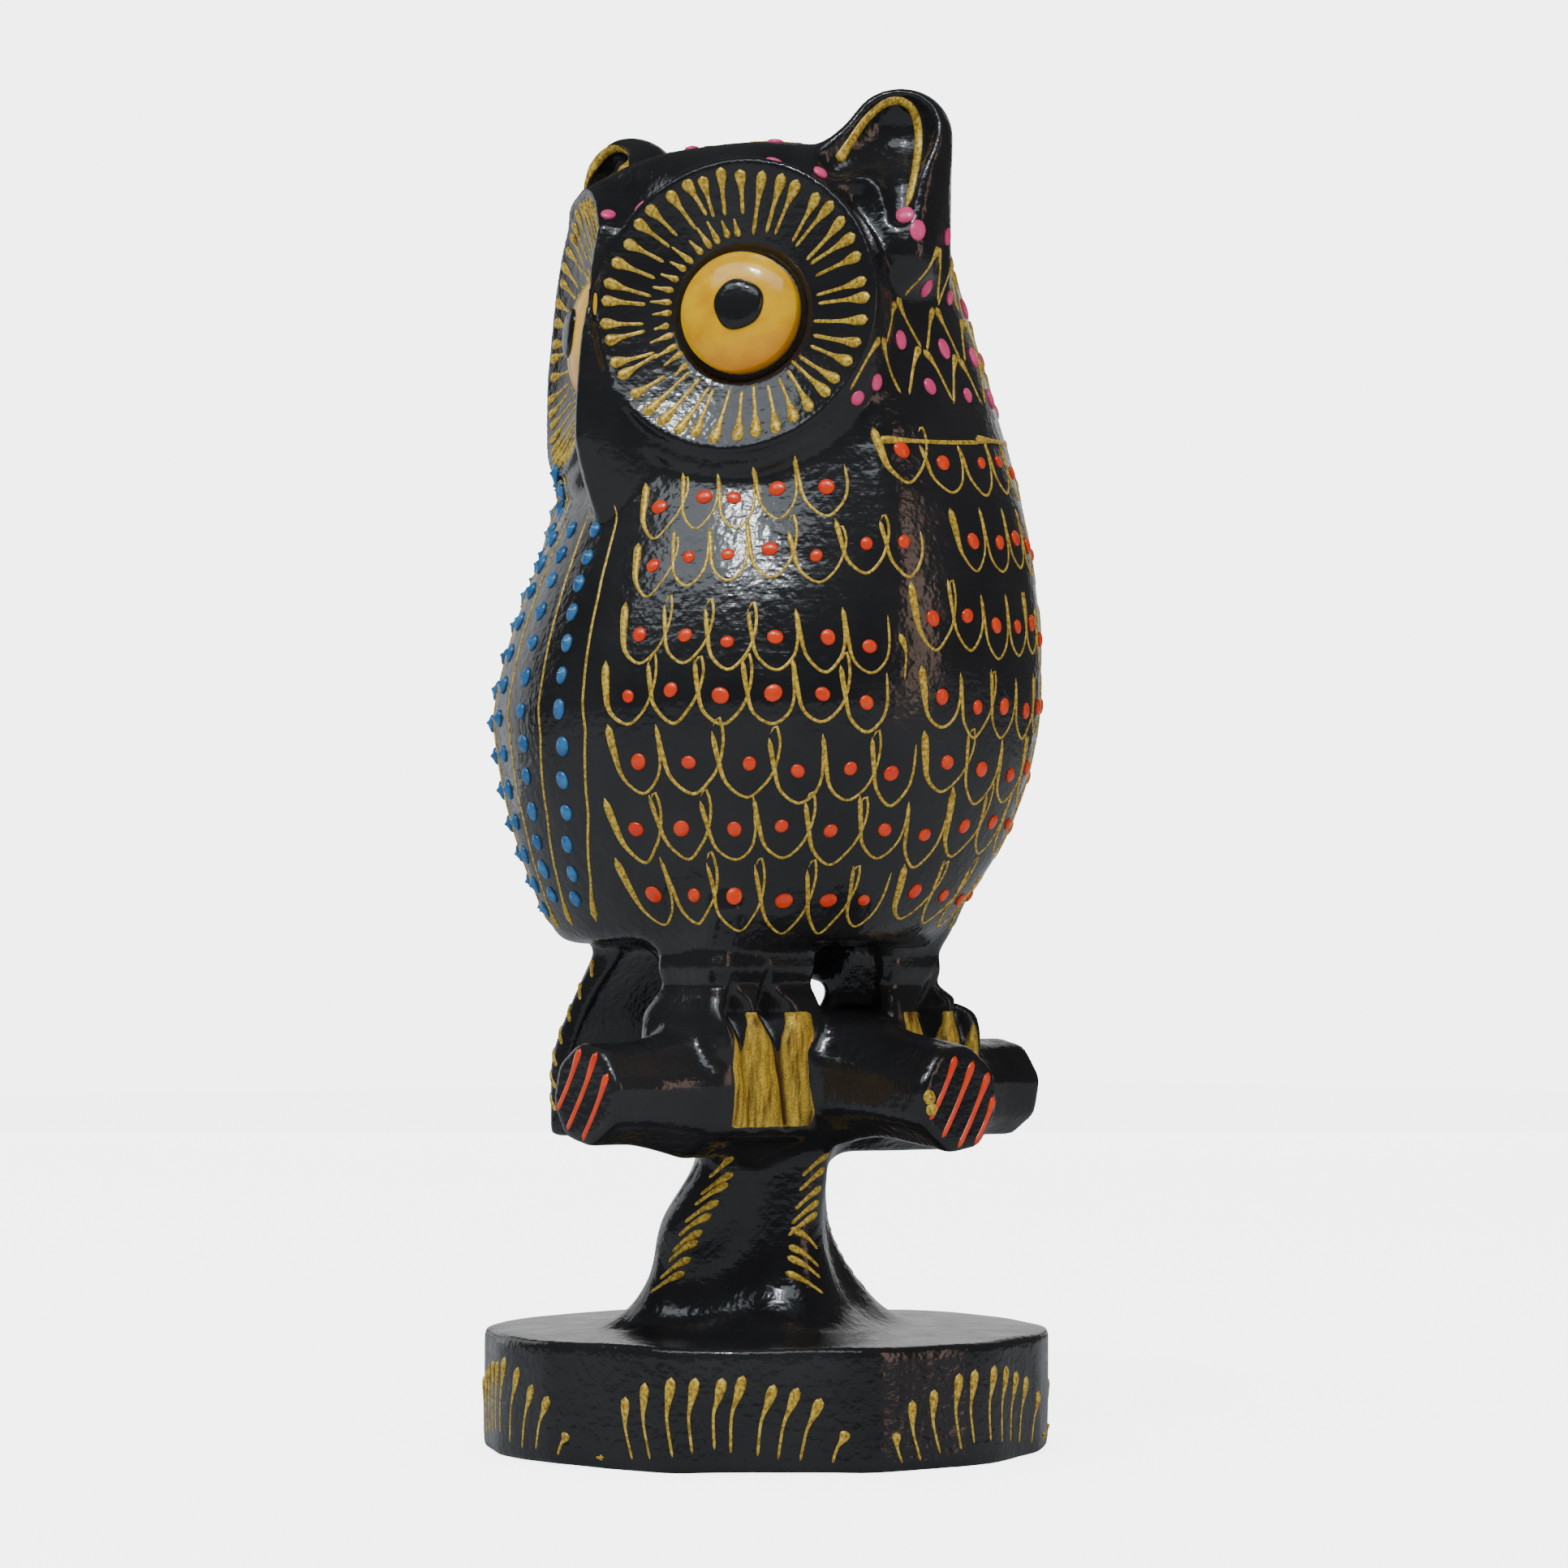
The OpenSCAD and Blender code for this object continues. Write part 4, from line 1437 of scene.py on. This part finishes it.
def end_strokes(origin, facing, radius, offsets):
    """Slanting strokes over a cut end, with their heads at the upper right."""
    facing = np.array(facing, float)
    across = np.array([-facing[1], facing[0], 0])
    along = across * math.cos(LEAN) + np.array([0, 0, math.sin(LEAN)])
    beside = across * math.sin(LEAN) - np.array([0, 0, math.cos(LEAN)])
    for offset in offsets:
        reach = math.sqrt(max(radius ** 2 - offset ** 2, 0.5)) * 0.92
        t = np.linspace(reach + jitter(0.3), -reach + jitter(0.3), 22)
        bend = 0.25 * np.sin(np.linspace(0, math.pi, 22))
        starts = origin + np.outer(t, along) + np.outer(offset + bend, beside) + facing * 8
        place = drop_on(starts, -facing)
        flat = place[1] @ facing > 0.75
        if flat.sum() > 6:
            end_marks.stroke((place[0][flat], place[1][flat]),
                             tear(int(flat.sum()), 0.52, 0.34, 0.1, 0.4), 0.5)


end_strokes((-PERCH_HALF, PERCH_Y, PERCH_Z), (-1, 0, 0), PERCH_R, (-2.9, -0.3, 2.5))
end_strokes((PERCH_HALF, PERCH_Y, PERCH_Z), (1, 0, 0), PERCH_R, (-2.6, 0.1, 2.8))
end_strokes((BRANCH_X, -BRANCH_END, BRANCH_Z), (0, -1, 0), BRANCH_R, (-3.2, -0.6, 2.1, 4.2))
spots = np.array([[BRANCH_X - BRANCH_R + 0.6, -BRANCH_END - 6, BRANCH_Z + 0.5],
                  [BRANCH_X - BRANCH_R + 0.9, -BRANCH_END - 6, BRANCH_Z - 0.8]])
end_blob.dot(drop_on(spots, (0, 1, 0)), 0.75, 0.4, 1.1)

# ---- gold strokes up the ridges of the trunk, along the tail and round the base
wood_strokes = Paint("trunk_strokes", GOLD, "gold_paint")
for ridge, start in enumerate((-99, -22, 68, 158)):
    for i in range(9):
        z = 17.8 + 1.62 * i + jitter(0.3)
        rise = (z - BASE_H) / 22.0
        middle_x, middle_y = trunk_middle(np.array([z, z + 1.2, z + 2.4]))
        azimuth = start + 34 * rise
        slant = -1 if ridge % 2 and i < 4 else 1
        turn = azimuth + slant * np.array([9.0, -2.0, -12.0]) * (1.0 + 0.3 * rise)
        level = np.array([aim(t) for t in turn])
        starts = np.stack([middle_x, middle_y, np.array([z + 2.5, z + 1.4, z])], axis=1)
        path = curve(starts + level * 30, 16)
        inward = curve(-level, 16)
        wood_strokes.stroke(drop_on(path, unit(inward)), tear(16, 0.45, 0.22, 0.2, 0.6), 0.45)

tail_strokes = Paint("tail_strokes", GOLD, "gold_paint")
for side in BOTH:
    z = tail_low[2] + 3.0
    while z < 55:
        y = tail_middle(np.array([z + 2.2, z + 1.1, z]))[1]
        path = [(side * (TAIL_HALF + 4), y[k] + dy, z + dz)
                for k, (dy, dz) in enumerate(((0.9, 2.2), (0.1, 1.1), (-1.0, 0.0)))]
        path = curve(path, 10)
        tail_strokes.stroke(drop_on(path, (-side, 0, 0)), tear(10, 0.5, 0.3, 0.2), 0.45)
        z += 2.6
# three lines down the back of the tail
for x in (-5.0, 0.0, 5.0):
    z = np.linspace(56, tail_low[2] + 2.5, 30)
    starts = np.stack([0 * z + x, 0 * z + BESIDE, z], axis=1)
    tail_strokes.stroke(drop_on(starts, (0, -1, 0)), tear(30, 0.5, 0.26, 0.03, 0.2), 0.5)

base_strokes = Paint("base_fans", GOLD, "gold_paint")
FAN_CENTRES = (9, -51, -111, -171, 129, 69)
for centre in FAN_CENTRES:
    for i in range(11):
        t = (i - 5 + jitter(0.15)) / 5
        high = 1.9 + 9.0 * math.sqrt(max(1 - t * t * 0.97, 0)) + jitter(0.5)
        foot_z = 1.0 + 1.4 * max(0.0, 1 - abs(t) * 1.3) + 0.5 * rng.random()
        spread = 25.5 * t
        lean = high / 10.9
        path = [(centre + spread, high),
                (centre + spread - (0.04 * spread + 0.9) * lean, high * 0.8),
                (centre + spread - (0.10 * spread + 1.9) * lean, (high + foot_z) * 0.48),
                (centre + spread - (0.20 * spread + 1.6) * lean, foot_z)]
        brush(base_strokes, path, tear(20, 0.6, 0.17, 0.12, 0.5), 0.45)
for paint in (scallops, breast_dots, back_lines, back_dots, head_lines, head_dots, rays, end_blob,
              end_marks, wood_strokes, tail_strokes, base_strokes):
    paint.build()
